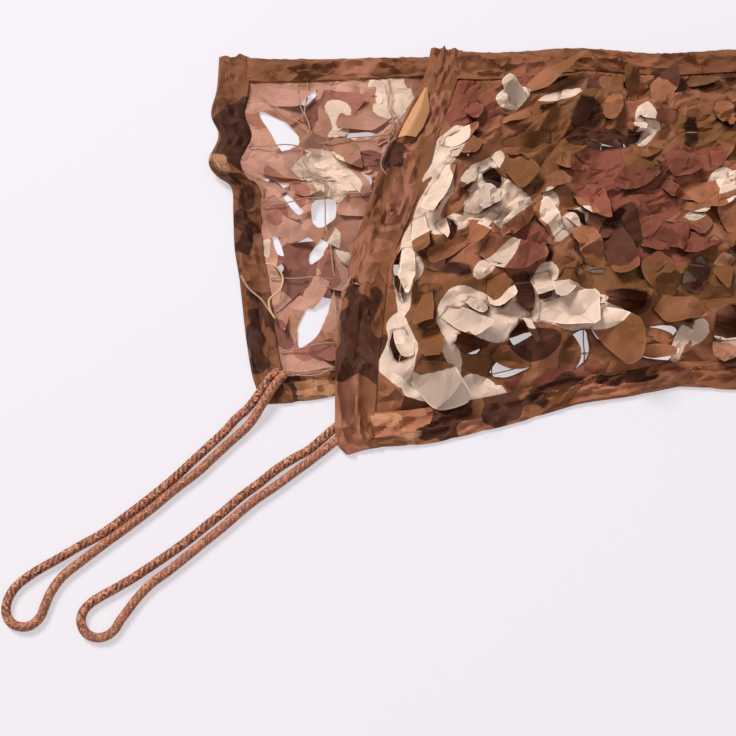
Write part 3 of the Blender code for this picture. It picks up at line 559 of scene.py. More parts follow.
# least room to other cuts and to the tapes, and the hinge's share of the width
LEAF_MARGIN, LEAF_BORDER, HINGE_SHARE = 0.0045, 0.0055, 0.60
SLIT_MARGIN, SLIT_BORDER, SLIT_HINGE = 0.0024, 0.0022, 0.80
UNCUT_BEND, COMPARE_WITHIN = 0.020, 0.055  # half the uncut strip at the bend; leaves are compared this near
# how many nudges, how much they shrink a slit in the end, the longest slit, the farthest nudge, and the
# degrees that a slit is turned for each metre of it
NUDGES, MOST_SHRUNK, LONGEST_SLIT, FARTHEST_NUDGE, NUDGE_TURN = 240, 0.50, 0.068, 0.015, 2000
DRAWN_SLITS = (  # slits with a place of their own, in the same five numbers
    (.814, .218, 258, .081, .021), (.777, .216, 283, .031, .013), (.761, .190, 192, .039, .023),
    (.788, .213, 287, .055, .022), (.751, .215, 233, .097, .027), (.785, .141, 317, .054, .017),
    (.726, .115, 245, .059, .021), (.812, .158, 265, .069, .017), (.767, .274, 272, .040, .027),
    (.735, .245, 236, .068, .027), (.693, .219, 228, .079, .027), (.627, .247, 288, .066, .025),
    (.596, .253, 293, .051, .023), (.644, .248, 251, .038, .022), (.626, .195, 232, .050, .023),
    (.612, .181, 231, .066, .025), (.645, .137, 249, .069, .030), (.678, .175, 225, .040, .022),
    (.690, .118, 234, .057, .030), (.606, .137, 211, .044, .017), (.604, .156, 201, .020, .007),
    (.712, .169, 60, .043, .012), (.697, .164, 111, .030, .010), (.762, .087, 230, .076, .023),
    (.694, .078, 211, .068, .028), (.747, .103, 263, .029, .015), (.734, .102, 306, .035, .012),
    (.717, .102, 270, .028, .013), (.716, .062, 334, .030, .027), (.720, .034, 234, .042, .028),
    (.782, .076, 241, .052, .013), (.789, .043, 213, .038, .018), (.809, .072, 249, .032, .017),
    (.807, .090, 256, .045, .012), (.656, .065, 220, .048, .025), (.624, .067, 231, .046, .023),
    (.600, .082, 252, .045, .022), (.642, .033, 224, .047, .020), (.759, .153, 234, .057, .018),
    (.778, .142, 242, .042, .017), (.036, .184, 313, .032, .012), (.042, .102, 245, .039, .018),
    (.076, .109, 285, .031, .017), (.031, .128, 298, .027, .013), (.109, .238, 323, .040, .015),
    (.114, .208, 274, .040, .013), (.054, .051, 308, .034, .015), (.019, .071, 261, .036, .012),
)
# the big beige patch of the lower layer lies flat: chance puts no slit this near its middle, in either round
CALM_PATCH, CALM_ROOM = (0.088, 0.206), (0.030, 0.034)
KNOTS_S = np.arange(FIRST_KNOT[0], NET_LENGTH - 0.035, KNOT_PITCH)
KNOTS_T = np.arange(FIRST_KNOT[1], NET_WIDTH - 0.060, KNOT_PITCH)
EXTRA_TIES = (
    (0.6605, 0.1852), (0.7171, 0.2411), (0.6152, 0.2245), (0.5857, 0.1518), (0.6877, 0.1228),
    (0.6159, 0.1220), (0.6382, 0.0903), (0.7327, 0.1454), (0.7722, 0.1578),
)
print(f"{len(PLACED_LEAVES)} open leaves and {len(DRAWN_SLITS)} slits with a place of their own")

# %% [markdown]
# ### The shape of a leaf
# A leaf has a straight hinge, two curved sides and a rounded tip. The die cuts it in a few straight strokes
# inside that shape. So we take a few points round it by chance, join them, and soften the corners by
# cutting them off twice.


# %% Leaf outlines
def heading(degrees):
    """The flat unit vector in a direction."""
    return np.array([math.cos(math.radians(degrees)), math.sin(math.radians(degrees))])


def turn_flat(points, degrees):
    """Flat points turned about the origin, so that what lay along s lies in this direction."""
    ahead = heading(degrees)
    return points @ np.array([ahead, (-ahead[1], ahead[0])])


def leaf_outline(centre_s, centre_t, direction, length, width, points, hinge=HINGE_SHARE, full=2.0):
    """Outline of a cut leaf, from one end of its hinge round the tip to the other."""
    shares = np.linspace(0.0, 1.0, points + 1)
    swell = np.where(shares < 0.45, hinge + (1 - hinge) * np.sin(np.pi / 2 * shares / 0.45),
                     np.maximum(0.0, 1 - (np.abs(shares - 0.45) / 0.55) ** full) ** (1 / full))
    right = np.column_stack([(shares - 0.5) * length, 0.5 * width * swell])
    left = right[-2::-1] * (1, -1)
    return turn_flat(np.vstack([right, left]), direction) + (centre_s, centre_t)


# (hinge's share of the width, fullness, how many corners, two rounds of corner cutting)
OPEN_CUT = (HINGE_SHARE, 2.0, (4, 5, 5, 6), (0.15, 0.22))
SLIT_CUT = (SLIT_HINGE, 5.0, (3, 4, 4, 5), (0.10, 0.20))
CUT_SEED, CUT_PITCH = 700, 0.0030


def die_cut(leaf, number, opened):
    """A leaf's real outline: a few straight cuts inside the rounded shape, with softened corners."""
    rng = random.Random(CUT_SEED + number)
    hinge, full, corners, parts = OPEN_CUT if opened else SLIT_CUT
    whole = leaf_outline(0, 0, 0, *leaf[3:], 200, hinge, full)
    n = rng.choice(corners)
    line = along(whole, [0, *((k + 0.5 + rng.uniform(-0.25, 0.25)) / n for k in range(n)), 1])
    for part in parts:
        after, before = (1 - part) * line[:-1] + part * line[1:], part * line[:-1] + (1 - part) * line[1:]
        line = np.vstack([line[:1], np.stack([after, before], axis=1).reshape(-1, 2), line[-1:]])
    size = np.linalg.norm(np.diff(line, axis=0), axis=1).sum()
    even = along(line, np.linspace(0, 1, max(10, round(size / CUT_PITCH))))
    return turn_flat(even, leaf[2]) + leaf[:2]


sample = die_cut(PLACED_LEAVES[0], 0, True)
print(f"the first leaf's cut: {len(sample)} points, from {sample[0].round(4)} to {sample[-1].round(4)}")


# %% [markdown]
# ### Finding room for the leaves
# Each leaf needs a little cloth between itself and every other cut, the tapes and the bend. The open leaves
# are placed first, then the slits that have a place of their own, and then chance fills what is left, the
# longest slits first.


# %% Place the leaves
def far_from(points, others, distance):
    """Those of the points that are farther than a distance from all the others."""
    gaps = np.linalg.norm(points[:, None] - others[None], axis=2).min(axis=1)
    return points[gaps > distance]


def inside_polygon(points, polygon):
    """Whether each point is inside: a ray from there crosses the outline an odd number of times."""
    x, y = points[:, 0][:, None], points[:, 1][:, None]
    ax, ay = polygon[:, 0], polygon[:, 1]
    bx, by = np.roll(ax, -1), np.roll(ay, -1)
    crosses = ((ay > y) != (by > y)) & (x < (bx - ax) * (y - ay) / (by - ay + 1e-30) + ax)
    return crosses.sum(axis=1) % 2 == 1


def clear_leaf(leaf, rim, rims, margin, border):
    """Whether a leaf lies in the cloth, clear of the bend and of every leaf that is there already."""
    centre = np.array(leaf[:2])
    close = [other for other in rims if np.linalg.norm(other.mean(axis=0) - centre) < COMPARE_WITHIN]
    room = room_inside(rim[:, 0], rim[:, 1]).min()
    bend = np.abs(rim[:, 0] - FOLD_MIDDLE).min()
    return room > border and bend > UNCUT_BEND and not any(
        far_from(rim, other, margin).shape != rim.shape or inside_polygon(rim[:1], other)[0]
        or inside_polygon(other[:1], rim)[0] for other in close)


def random_leaves(sizes, rng, skip, slit=True, reach_s=NET_LENGTH - 0.02):
    """Adds leaves wherever chance finds room for them, large ones first."""
    margin, border = (SLIT_MARGIN, SLIT_BORDER) if slit else (LEAF_MARGIN, LEAF_BORDER)
    for length, wanted in sizes:
        placed = 0
        for _ in range(wanted * LEAF_TRIES):
            leaf = (rng.uniform(0.02, reach_s), rng.uniform(0.02, NET_WIDTH - 0.02),
                    rng.uniform(0, 360), length, length * rng.uniform(*LEAF_SLIM))
            if placed == wanted or skip(leaf):
                continue
            rim = die_cut(leaf, len(leaves), False) if slit else leaf_outline(*leaf, 8)
            if clear_leaf(leaf, rim, rims, margin, border):
                placed += 1
                leaves.append(leaf)
                rims.append(rim)


leaves, rims = list(PLACED_LEAVES), [leaf_outline(*leaf, 8) for leaf in PLACED_LEAVES]
random_leaves(LEAF_SIZES, random.Random(LEAF_SEED), lambda leaf: leaf[0] < 0.10 + 0.10 * leaf[1] / NET_WIDTH,
              slit=False)
open_count = len(leaves)
rims = [die_cut(leaf, k, True) for k, leaf in enumerate(leaves)]
nudge = random.Random(9)
for leaf in DRAWN_SLITS:
    for k in range(NUDGES):  # each try moves and turns the leaf a little more and makes it a little smaller
        part = (1 - MOST_SHRUNK * k / NUDGES) * min(1.0, LONGEST_SLIT / leaf[3])
        away = FARTHEST_NUDGE * math.sqrt(k / NUDGES)
        tried = (leaf[0] + nudge.uniform(-away, away), leaf[1] + nudge.uniform(-away, away),
                 leaf[2] + nudge.uniform(-NUDGE_TURN, NUDGE_TURN) * away, leaf[3] * part, leaf[4] * part)
        rim = die_cut(tried, len(leaves), False)
        if clear_leaf(tried, rim, rims, SLIT_MARGIN, SLIT_BORDER):
            leaves.append(tried)
            rims.append(rim)
            break
drawn_count = len(leaves)
random_leaves(SEEN_SLIT_SIZES, random.Random(6), lambda leaf: math.dist(leaf[:2], CALM_PATCH) < CALM_ROOM[0],
              reach_s=SEEN_S)
random_leaves(SLIT_SIZES, random.Random(5), lambda leaf: math.dist(leaf[:2], CALM_PATCH) < CALM_ROOM[1])
print(f"{open_count} open leaves, {drawn_count - open_count} drawn slits, {len(leaves) - drawn_count} more")


# %% [markdown]
# ### Where the cloth is folded
# At each tie the cloth is pinched, and straight sharp folds run out from there like the spokes of a wheel,
# ridge and valley by turns. Between the ties it also creases along short straight pleats. Both are lists of
# lines here, for two uses: the triangulation takes them as edges, so that a fold never cuts across a
# triangle, and the height of the cloth rises and falls between them.

# %% Ties, spokes and pleats
SPOKE_REACH, UPPER_SLOPE, LOWER_SLOPE = (0.026, 0.056), 0.36, 0.13  # steeper on the upper layer
# (from s, to s, how many pleats, height)
PLEAT_FIELDS = ((0.02, 0.14, 16, 0.0022), (FOLD_END + 0.03, NET_LENGTH - 0.03, 90, 0.0036))
PLEAT_HALF, PLEAT_WIDTH = (0.016, 0.036), (0.006, 0.013)
FOLD_STEP = 0.0032  # between the points along a fold


def all_ties():
    """The knots that hold the cloth, away from the bend, and the ties between them."""
    ties = [(s, t) for s in KNOTS_S for t in KNOTS_T if not (FOLD_START - 0.01 < s < FOLD_END + 0.01)]
    return np.array(ties + list(EXTRA_TIES))


def make_spokes():
    """For each tie: its place, its folds' directions, their lengths and how steeply each rises or falls."""
    rng, found = np.random.default_rng(8), []
    for tie in all_ties():
        n = 2 * rng.integers(3, 6)
        turn = np.sort(((np.arange(n) + rng.uniform(-0.32, 0.32, n)) / n + rng.uniform()) % 1.0) * 2 * np.pi
        slope = UPPER_SLOPE if tie[0] > FOLD_END else LOWER_SLOPE
        steep = rng.uniform(0.5, 1.2, n) * np.where(np.arange(n) % 2, -1, 1) * slope
        found.append((tie, turn, rng.uniform(*SPOKE_REACH, n), steep))
    return found


def make_pleats():
    """(start, end, height, width) of short straight pleats, more of them on the upper layer."""
    rng, found = np.random.default_rng(4), []
    for low, high, count, tall in PLEAT_FIELDS:
        for _ in range(count):
            middle = rng.uniform((low, 0.03), (high, NET_WIDTH - 0.03))
            a, half = rng.uniform(0, np.pi), rng.uniform(*PLEAT_HALF)
            reach = half * np.array([math.cos(a), math.sin(a)])
            height = tall * rng.uniform(0.5, 1.3) * rng.choice((-1, 1))
            found.append((middle - reach, middle + reach, height, rng.uniform(*PLEAT_WIDTH)))
    return found


spoke_sets, pleats = make_spokes(), make_pleats()
print(f"{sum(len(turn) for _, turn, _, _ in spoke_sets)} spokes and {len(pleats)} pleats")


def fold_lines():
    """Points along every fold, a row for each."""
    rows = []
    for tie, turn, reach, _ in spoke_sets:
        for a, far in zip(turn, reach):
            out = np.arange(0.0025, far * 0.85, FOLD_STEP)[:, None]
            rows.append(tie + out * (math.cos(a), math.sin(a)))
    for start, end, _, _ in pleats:
        count = max(3, round(np.linalg.norm(end - start) / FOLD_STEP))
        rows.append(start + np.linspace(0, 1, count)[:, None] * (end - start))
    return rows


def fold_height(p):
    """What spokes and pleats add to the cloth's height at flat points."""
    height = np.zeros(len(p))
    for tie, turn, reach, steep in spoke_sets:
        away = p - tie
        r = np.linalg.norm(away, axis=1)
        close = np.where(r < reach.max())[0]
        angle = np.arctan2(away[close, 1], away[close, 0]) % (2 * np.pi)
        after = np.searchsorted(turn, angle) % len(turn)
        before = (after - 1) % len(turn)
        wide = (turn[after] - turn[before]) % (2 * np.pi)
        share = ((angle - turn[before]) % (2 * np.pi)) / wide
        rise = [steep[k] * r[close] * (1 - smooth(r[close] / reach[k])) for k in (before, after)]
        height[close] += rise[0] * (1 - share) + rise[1] * share
    for start, end, tall, wide in pleats:
        way = end - start
        share = (p - start) @ way / (way @ way)
        off = np.abs((p - start) @ (-way[1], way[0])) / np.linalg.norm(way)
        ends = np.sin(np.pi * np.clip(share, 0, 1)) ** 0.7
        height += tall * ends * np.clip(1 - off / wide, 0, 1)
    return height


# %% [markdown]
# ### The flat pattern
# The triangulation takes the outline, every cut, every fold that is clear of them, and a jittered grid
# between them, finer where the cloth is seen. The jitter keeps the cloth's own buckles from lining up with
# the grid. Each triangle whose middle lies in a leaf belongs to that leaf, and its corners on the cut get
# points of their own.

# %% Triangulate and part the cuts
UNDER_TAPE = 0.004  # how far the cloth reaches under the edge tapes
# (from s, to s, pitch of the grid there)
GRID_FIELDS = ((0.0, 0.150, 0.0032), (0.150, FOLD_START, 0.0075), (FOLD_START, FOLD_END + 0.004, 0.0035),
               (FOLD_END + 0.004, NET_LENGTH, 0.0032))
# least distance of a fold's points from a cut and from a tape, and of the grid's points from all of these
FOLD_CLEAR, FOLD_INSIDE, GRID_CLEAR = 0.0026, 0.002, 0.0018
HALF_LEAF = 0.04  # no leaf reaches farther than this from its middle


def cloth_outline():
    """The cloth's flat outline, under the edge tapes all round."""
    t, s = np.linspace(0.0, NET_WIDTH, 60), np.linspace(0.0, NET_LENGTH, 170)
    near, far = side_width("near", s) - UNDER_TAPE, NET_WIDTH - side_width("far", s) + UNDER_TAPE
    lower, upper = end_width("lower", t) - UNDER_TAPE, NET_LENGTH - end_width("upper", t) + UNDER_TAPE
    s_in = (s > lower.max() + 0.002) & (s < upper.min() - 0.002)
    t_in = (t > near.min() + 0.002) & (t < far.max() - 0.002)
    return np.vstack([np.column_stack([lower, t])[t_in][::-1], np.column_stack([s, near])[s_in],
                      np.column_stack([upper, t])[t_in], np.column_stack([s, far])[s_in][::-1]])


def jittered_grid(s_from, s_to, pitch, rng):
    """Rows of points, every other row half a pitch aside, and each point moved a little by chance."""
    rows, columns = np.arange(s_from, s_to, pitch * 0.87), np.arange(0, NET_WIDTH, pitch)
    grid = np.array([(s, t + (0.5 * pitch if k % 2 else 0)) for k, s in enumerate(rows) for t in columns])
    return grid + rng.uniform(-0.22, 0.22, grid.shape) * pitch


def clear_folds(rim_points):
    """The folds' points, and the edges between neighbours that are both clear of cuts and tapes. The others
    go to (-1, -1), outside the cloth."""
    folds, edges, count = [], [], 0
    for row in fold_lines():
        clear = np.linalg.norm(row[:, None] - rim_points[None], axis=2).min(axis=1) > FOLD_CLEAR
        clear &= room_inside(row[:, 0], row[:, 1]) > FOLD_INSIDE
        edges += [(count + k, count + k + 1) for k in range(len(row) - 1) if clear[k] and clear[k + 1]]
        folds.append(np.where(clear[:, None], row, -1.0))
        count += len(row)
    return np.vstack(folds), edges


def grid_between(fixed, outline):
    """The grid's points that lie in the outline and clear of the fixed points."""
    rng = np.random.default_rng(3)
    grid = np.vstack([jittered_grid(*field, rng) for field in GRID_FIELDS])
    grid = grid[inside_polygon(grid, outline)]
    return np.vstack([far_from(part, fixed, GRID_CLEAR) for part in np.array_split(grid, 40)])


def leaf_of(points, cuts):
    """Which leaf each point lies in, or -1."""
    owner = np.full(len(points), -1)
    for k, cut in enumerate(cuts):
        near = np.where(np.abs(points - cut.mean(axis=0)).max(axis=1) < HALF_LEAF)[0]
        owner[near[inside_polygon(points[near], cut)]] = k
    return owner


def part_cuts(flat, faces, source, owner, spans):
    """Gives every leaf points of its own along its cut, but for the hinge's two ends. A point's source is the
    fixed point that it was, or -1, and a cut's span is its range of those."""
    flat, point_leaf, source = flat.tolist(), [-1] * len(flat), source.tolist()
    at = {n: k for k, n in enumerate(source) if n >= 0}
    for k, (first, last) in enumerate(spans):
        twin = {}
        for n in range(first + 1, last - 1):
            twin[at[n]] = len(flat)
            flat.append(list(flat[at[n]]))
            point_leaf.append(k)
            source.append(n)
        hinge_ends = {at[first], at[last - 1]}
        for f in np.where(owner == k)[0]:
            faces[f] = [twin.get(v, v) for v in faces[f]]
            for v in faces[f]:
                if v not in hinge_ends:
                    point_leaf[v] = k
    return np.array(flat), np.array(point_leaf), np.array(source)


def flat_cloth(cuts):
    """Points and triangles of the flat cloth with its cuts parted, the leaf that each point is in or -1, and
    which points lie on a cut's edge and which on a fold."""
    outline = cloth_outline()
    rings = [outline, *cuts]
    spans, start = [], 0
    for ring in rings:
        spans.append((start, start + len(ring)))
        start += len(ring)
    rim_points = np.vstack(rings)
    folds, fold_edges = clear_folds(rim_points)
    fixed = np.vstack([rim_points, folds])
    edges = [(start + a, start + b) for a, b in fold_edges]
    for first, last in spans:
        edges += [(n, n + 1 if n + 1 < last else first) for n in range(first, last)]
    points = np.vstack([fixed, grid_between(fixed, outline)])
    made = delaunay_2d_cdt([Vector(p) for p in points], edges, [], 0, 1e-7)
    flat, faces = np.array([tuple(v) for v in made[0]]), np.array([list(f) for f in made[2]])
    source = np.array([origins[0] if origins else -1 for origins in made[3]])
    faces = faces[inside_polygon(flat[faces].mean(axis=1), outline)]
    owner = leaf_of(flat[faces].mean(axis=1), cuts)
    flat, point_leaf, source = part_cuts(flat, faces, source, owner, spans[1:])
    cut_edge = (source >= len(outline)) & (source < len(rim_points))
    fold_line = (source >= len(rim_points)) & (source < len(fixed))
    return flat, faces, point_leaf, cut_edge, fold_line


flat, triangles, point_leaf, cut_edge, fold_line = flat_cloth(rims)
print(f"flat cloth: {len(flat)} points, {len(triangles)} triangles")


# %% [markdown]
# ### Laying it down
# The cloth is tied to the string net at the knots and at a few places between them. Between ties it
# stands up in puckers, and at each tie sharp folds run out like the spokes of a wheel. Each leaf then
# turns about its hinge: we walk along it, adding up short steps in its changing direction, so that it
# curls instead of swinging like a flap. Open leaves lift high or fold right back under, slits lift a little.

# %% Puckers, spokes and curled leaves
CURL_STEPS = 39  # short steps from a leaf's hinge to its tip
SLOPE_STEP = 0.004  # half the distance over which the laid surface's slope is measured
PUCKER_LOWER, PUCKER_UPPER = 0.0045, 0.0080  # how high each layer's cloth stands between its knots
TIE_DIP, TIE_REACH = 0.0035, 0.009
SOFT_FOLDS = ((0.0020, 0.048, 21), (0.0005, 0.014, 22))  # height, wavelength and seed


def waves(p, wavelength, seed, count=8):
    """Even, soft folds: sine waves of about one wavelength in random directions."""
    rng = np.random.default_rng(seed)
    total = np.zeros(len(p))
    for _ in range(count):
        a, k = rng.uniform(0, 2 * np.pi), 2 * np.pi / (wavelength * rng.uniform(0.65, 1.5))
        total += np.sin(k * (p[:, 0] * math.cos(a) + p[:, 1] * math.sin(a)) + rng.uniform(0, 2 * np.pi))
    return total / math.sqrt(count / 2)


def cloth_height(s, t):
    """How far the cloth stands off the string net, before it settles."""
    p = np.column_stack([s, t])
    a = (np.cos(np.pi * (s - FIRST_KNOT[0]) / KNOT_PITCH) ** 2
         * np.cos(np.pi * (t - FIRST_KNOT[1]) / KNOT_PITCH) ** 2)
    uneven = 0.72 + 0.16 * np.sin(47 * s + 31 * t) + 0.12 * np.sin(83 * t - 59 * s + 1.7)
    fade = smooth((room_inside(s, t) + 0.002) / (0.015 + 0.005 * waves(p, 0.05, 77)))
    over_bend = 0.25 + 0.75 * smooth(np.abs(s - FOLD_MIDDLE) / 0.045)
    height = np.where(s < FOLD_START, PUCKER_LOWER, PUCKER_UPPER) * (1 - a) * uneven
    for tie in all_ties():
        r = np.linalg.norm(p - tie, axis=1)
        height -= TIE_DIP * np.exp(-((r / TIE_REACH) ** 2)) * (s > FOLD_END)
    height += fold_height(p)
    soft = sum(tall * waves(p, wavelength, seed) for tall, wavelength, seed in SOFT_FOLDS)
    height += soft * np.where(s < FOLD_START, 0.6, 1)
    return height * fade * over_bend


def lay_cloth(s, t):
    """Where the cloth's points go: off the string net by its height, and never into the table."""
    edge = smooth((room_inside(s, t) + 0.001) / 0.004)
    where = lay(s, t, 0.0016 * edge - 0.0003 + np.maximum(cloth_height(s, t), -0.0006))
    where[:, 2] = np.maximum(where[:, 2], 0.0004)
    return where


def leaf_curl(k, leaf, rng):
    """(turn at the hinge, further curl, roll) of a leaf, in radians. A positive turn lifts it off the table,
    and a negative one folds it back under the cloth."""
    upper, seen = leaf[0] > FOLD_END, leaf[0] < 0.14
    if k in SWUNG:
        return 0.14, 0.12, 0.0
    if k < open_count:
        if not upper and not seen:
            return 0.2, 0.2, 0.0
        if not upper or k < len(PLACED_LEAVES):
            return -math.radians(rng.uniform(168, 174)), rng.uniform(-0.15, 0.25), rng.uniform(-0.1, 0.1)
    most = math.asin(min(0.9, (0.022 if upper else 0.012 if seen else 0.003) / leaf[3]))
    return rng.uniform(0.20, 0.85) * most, rng.uniform(0.1, 1.1) * most, rng.uniform(-0.40, 0.40)


def growth(k, s):
    """How much longer a leaf is drawn than its cut, so that leaves overlap as they do in a real net."""
    if k < len(PLACED_LEAVES):
        return 1.0
    if open_count <= k < drawn_count:
        return 1.32
    return 1.38 if s > FOLD_END else 1.25


def place_points(flat, point_leaf):
    """Lays every point of the cloth, with each leaf turned and curled about its hinge. Also gives how far
    each point is turned over, 0 to 1."""
    where = lay_cloth(flat[:, 0], flat[:, 1])
    rng = random.Random(17)
    turned = np.zeros(len(flat))
    for k, (cs, ct, direction, length, width) in enumerate(leaves):
        mine = np.where(point_leaf == k)[0]
        tip = heading(direction)
        across = np.array([-tip[1], tip[0]])
        middle = np.array([cs, ct]) - tip * length / 2
        out, side = (flat[mine] - middle) @ tip, (flat[mine] - middle) @ across
        hinge_turn, curl, roll = leaf_curl(k, leaves[k], rng)
        grow = growth(k, cs)
        steps = np.linspace(0, 1, CURL_STEPS + 1)
        bend = hinge_turn * smooth(steps / 0.16) + curl * steps**1.2
        forward = np.concatenate([[0], np.cumsum(np.cos(bend[1:]))]) * length * grow / CURL_STEPS
        lifted = np.concatenate([[0], np.cumsum(np.sin(bend[1:]))]) * length * grow / CURL_STEPS
        share = np.clip(out / length, 0, 1)
        spread = side * (1 + (grow - 1) * smooth(share / 0.4))
        hinge = middle + side[:, None] * across
        root = lay_cloth(hinge[:, 0], hinge[:, 1])
        ahead, aside = ((lay(*(hinge + way * SLOPE_STEP).T) - lay(*(hinge - way * SLOPE_STEP).T))
                        / (2 * SLOPE_STEP) for way in (tip, across))
        normal = np.cross(ahead, aside)
        normal /= np.linalg.norm(normal, axis=1, keepdims=True)
        normal *= np.sign(normal[:, 2:])
        rise = np.interp(share, steps, lifted) + roll * side * share
        rise += 0.12 * np.sign(curl) * side**2 / width * share
        rise += 0.9 * smooth(share / 0.3) * fold_height(flat[mine])
        where[mine] = root + ahead * np.interp(share, steps, forward)[:, None] + normal * rise[:, None]
        where[mine] += aside * (spread - side + SWUNG.get(k, 0.0) * share * length)[:, None]
        turned[mine] = smooth((abs(hinge_turn) - 1.6) / 0.3) * smooth(share / 0.12)
    return where, turned


placed, turned = place_points(flat, point_leaf)
print(f"laid from {placed.min(axis=0).round(3)} to {placed.max(axis=0).round(3)}")


# %% [markdown]
# ### Letting it settle
# The pattern above is only a rough guess. Cloth hardly stretches but bends easily, so we let it settle: each
# round moves every pair of joined points a little towards its own distance, and pushes the two far corners
# of neighbouring triangles apart so that folds stay round. The distances are the laid ones, kept a little
# above the flat ones between the leaves: more cloth than room is what makes it buckle into crisp, irregular
# folds. Ties, the bend and the edge under the tape are held.

# %% Settle the cloth
LEAST_CLOTH, MOST_CLOTH = 1.02, 1.30  # the cloth between the leaves, as a share of its flat length
# how firmly far corners are pushed apart, between the leaves and in them, and how far a round moves a point
BEND_STIFF, LEAF_BEND_STIFF, PUSH = 0.16, 0.30, 2.2
ROUNDS, QUICK_ROUNDS = 60, 10
LEAF_LEVELS = 4  # leaves keep to one of these levels, so that fewer of them meet
# how high above the table a leaf may reach: on the upper layer, and on the lower one before and past an s
UPPER_ROOF, SEEN_ROOF, HIDDEN_ROOF, SEEN_ROOF_S = 0.0425, 0.0190, 0.0085, 0.100


def pairs_of(faces):
    """Every edge, and the two corners that face each other over each inner edge."""
    sides = np.concatenate([faces[:, [0, 1, 2]], faces[:, [1, 2, 0]], faces[:, [2, 0, 1]]])
    key = np.sort(sides[:, :2], axis=1)
    order = np.lexsort((key[:, 1], key[:, 0]))
    key, far_corner = key[order], sides[order, 2]
    same = np.where((key[1:] == key[:-1]).all(axis=1))[0]
    return np.unique(key, axis=0), np.column_stack([far_corner[same], far_corner[same + 1]])


def floor_and_ceiling(flat, point_leaf):
    """The heights that each point stays between: the cloth near the laid surface, the leaves more freely."""
    base = lay(flat[:, 0], flat[:, 1])[:, 2]
    on_top = flat[:, 0] > FOLD_END
    uneven = np.random.default_rng(6).uniform(0, 0.0003, len(flat))
    low = np.where(on_top, base - 0.0005, 0.0011) + uneven
    high = np.where(on_top, base + 0.0150, base + 0.0040) - uneven
    loose = point_leaf >= 0
    level = point_leaf % LEAF_LEVELS
    low[loose] = (np.where(on_top, base - 0.0035 - 0.0004 * level, 0.0003 + 0.0002 * level) + uneven)[loose]
    roof = np.where(on_top, UPPER_ROOF, np.where(flat[:, 0] < SEEN_ROOF_S, SEEN_ROOF, HIDDEN_ROOF))
    high[loose] = (roof - np.where(on_top, 0.0012, 0.0005) * level - 2 * uneven)[loose]
    return low, high


def held_points(flat, point_leaf):
    """The points that don't move: under the tapes, in the bend, and the cloth's nearest point to each tie."""
    held = room_inside(flat[:, 0], flat[:, 1]) < 0.0
    held |= np.abs(flat[:, 0] - FOLD_MIDDLE) < 0.016
    free = np.where(point_leaf < 0)[0]
    for tie in all_ties():
        held[free[np.argmin(np.linalg.norm(flat[free] - tie, axis=1))]] = True
    return held


def settle(where, flat, faces, point_leaf, rounds):
    """Moves the laid points towards the lengths that the cloth has, between a floor and a ceiling."""
    edges, bends = pairs_of(faces)
    length = np.linalg.norm(flat[edges[:, 0]] - flat[edges[:, 1]], axis=1)
    now = np.linalg.norm(where[edges[:, 0]] - where[edges[:, 1]], axis=1)
    in_leaf = (point_leaf[edges] >= 0).any(axis=1)
    length = np.where(in_leaf, now, np.clip(now, length * LEAST_CLOTH, length * MOST_CLOTH))
    reach = np.linalg.norm(flat[bends[:, 0]] - flat[bends[:, 1]], axis=1)
    start = np.linalg.norm(where[bends[:, 0]] - where[bends[:, 1]], axis=1)
    reach = np.minimum(reach, start)
    in_leaf = (point_leaf[bends] >= 0).any(axis=1)
    a, b = np.vstack([edges, bends]).T
    rest = np.concatenate([length, reach])
    stiff = np.concatenate([np.full(len(edges), 1.0), np.where(in_leaf, LEAF_BEND_STIFF, BEND_STIFF)])
    held = held_points(flat, point_leaf)
    low, high = floor_and_ceiling(flat, point_leaf)
    count = np.bincount(a, minlength=len(where)) + np.bincount(b, minlength=len(where))
    count = np.maximum(count, 1)  # a point in no triangle has no edges to share out
    inner = np.arange(len(a)) < len(edges)
    for _ in range(rounds):
        gap = where[b] - where[a]
        distance = np.linalg.norm(gap, axis=1) + 1e-9
        wrong = distance - rest
        wrong[~inner] = np.minimum(wrong[~inner], 0)
        move = gap * (0.5 * stiff * wrong / distance)[:, None]
        change = np.stack([np.bincount(a, move[:, k], len(where)) - np.bincount(b, move[:, k], len(where))
                           for k in range(3)], axis=1)
        where = where + np.where(held, 0, PUSH / count)[:, None] * change
        where[:, 2] = np.clip(where[:, 2], low, high)
    return where


settled = settle(placed, flat, triangles, point_leaf, ROUNDS)
print(f"settled to {settled.min(axis=0).round(3)} and {settled.max(axis=0).round(3)}")

# %% [markdown]
# ## The camouflage print
# The print is four inks on one cloth: brown all over, then red-brown, dark brown and beige blobs. Each blob
# is a flattened circle. For every point we store how deep it lies inside the nearest blob of each ink,
# after bending the pattern with slow waves so that no blob stays a plain ellipse. The shader then cuts each
# field sharply at zero, so the blobs have crisp printed edges whatever the size of the triangles.

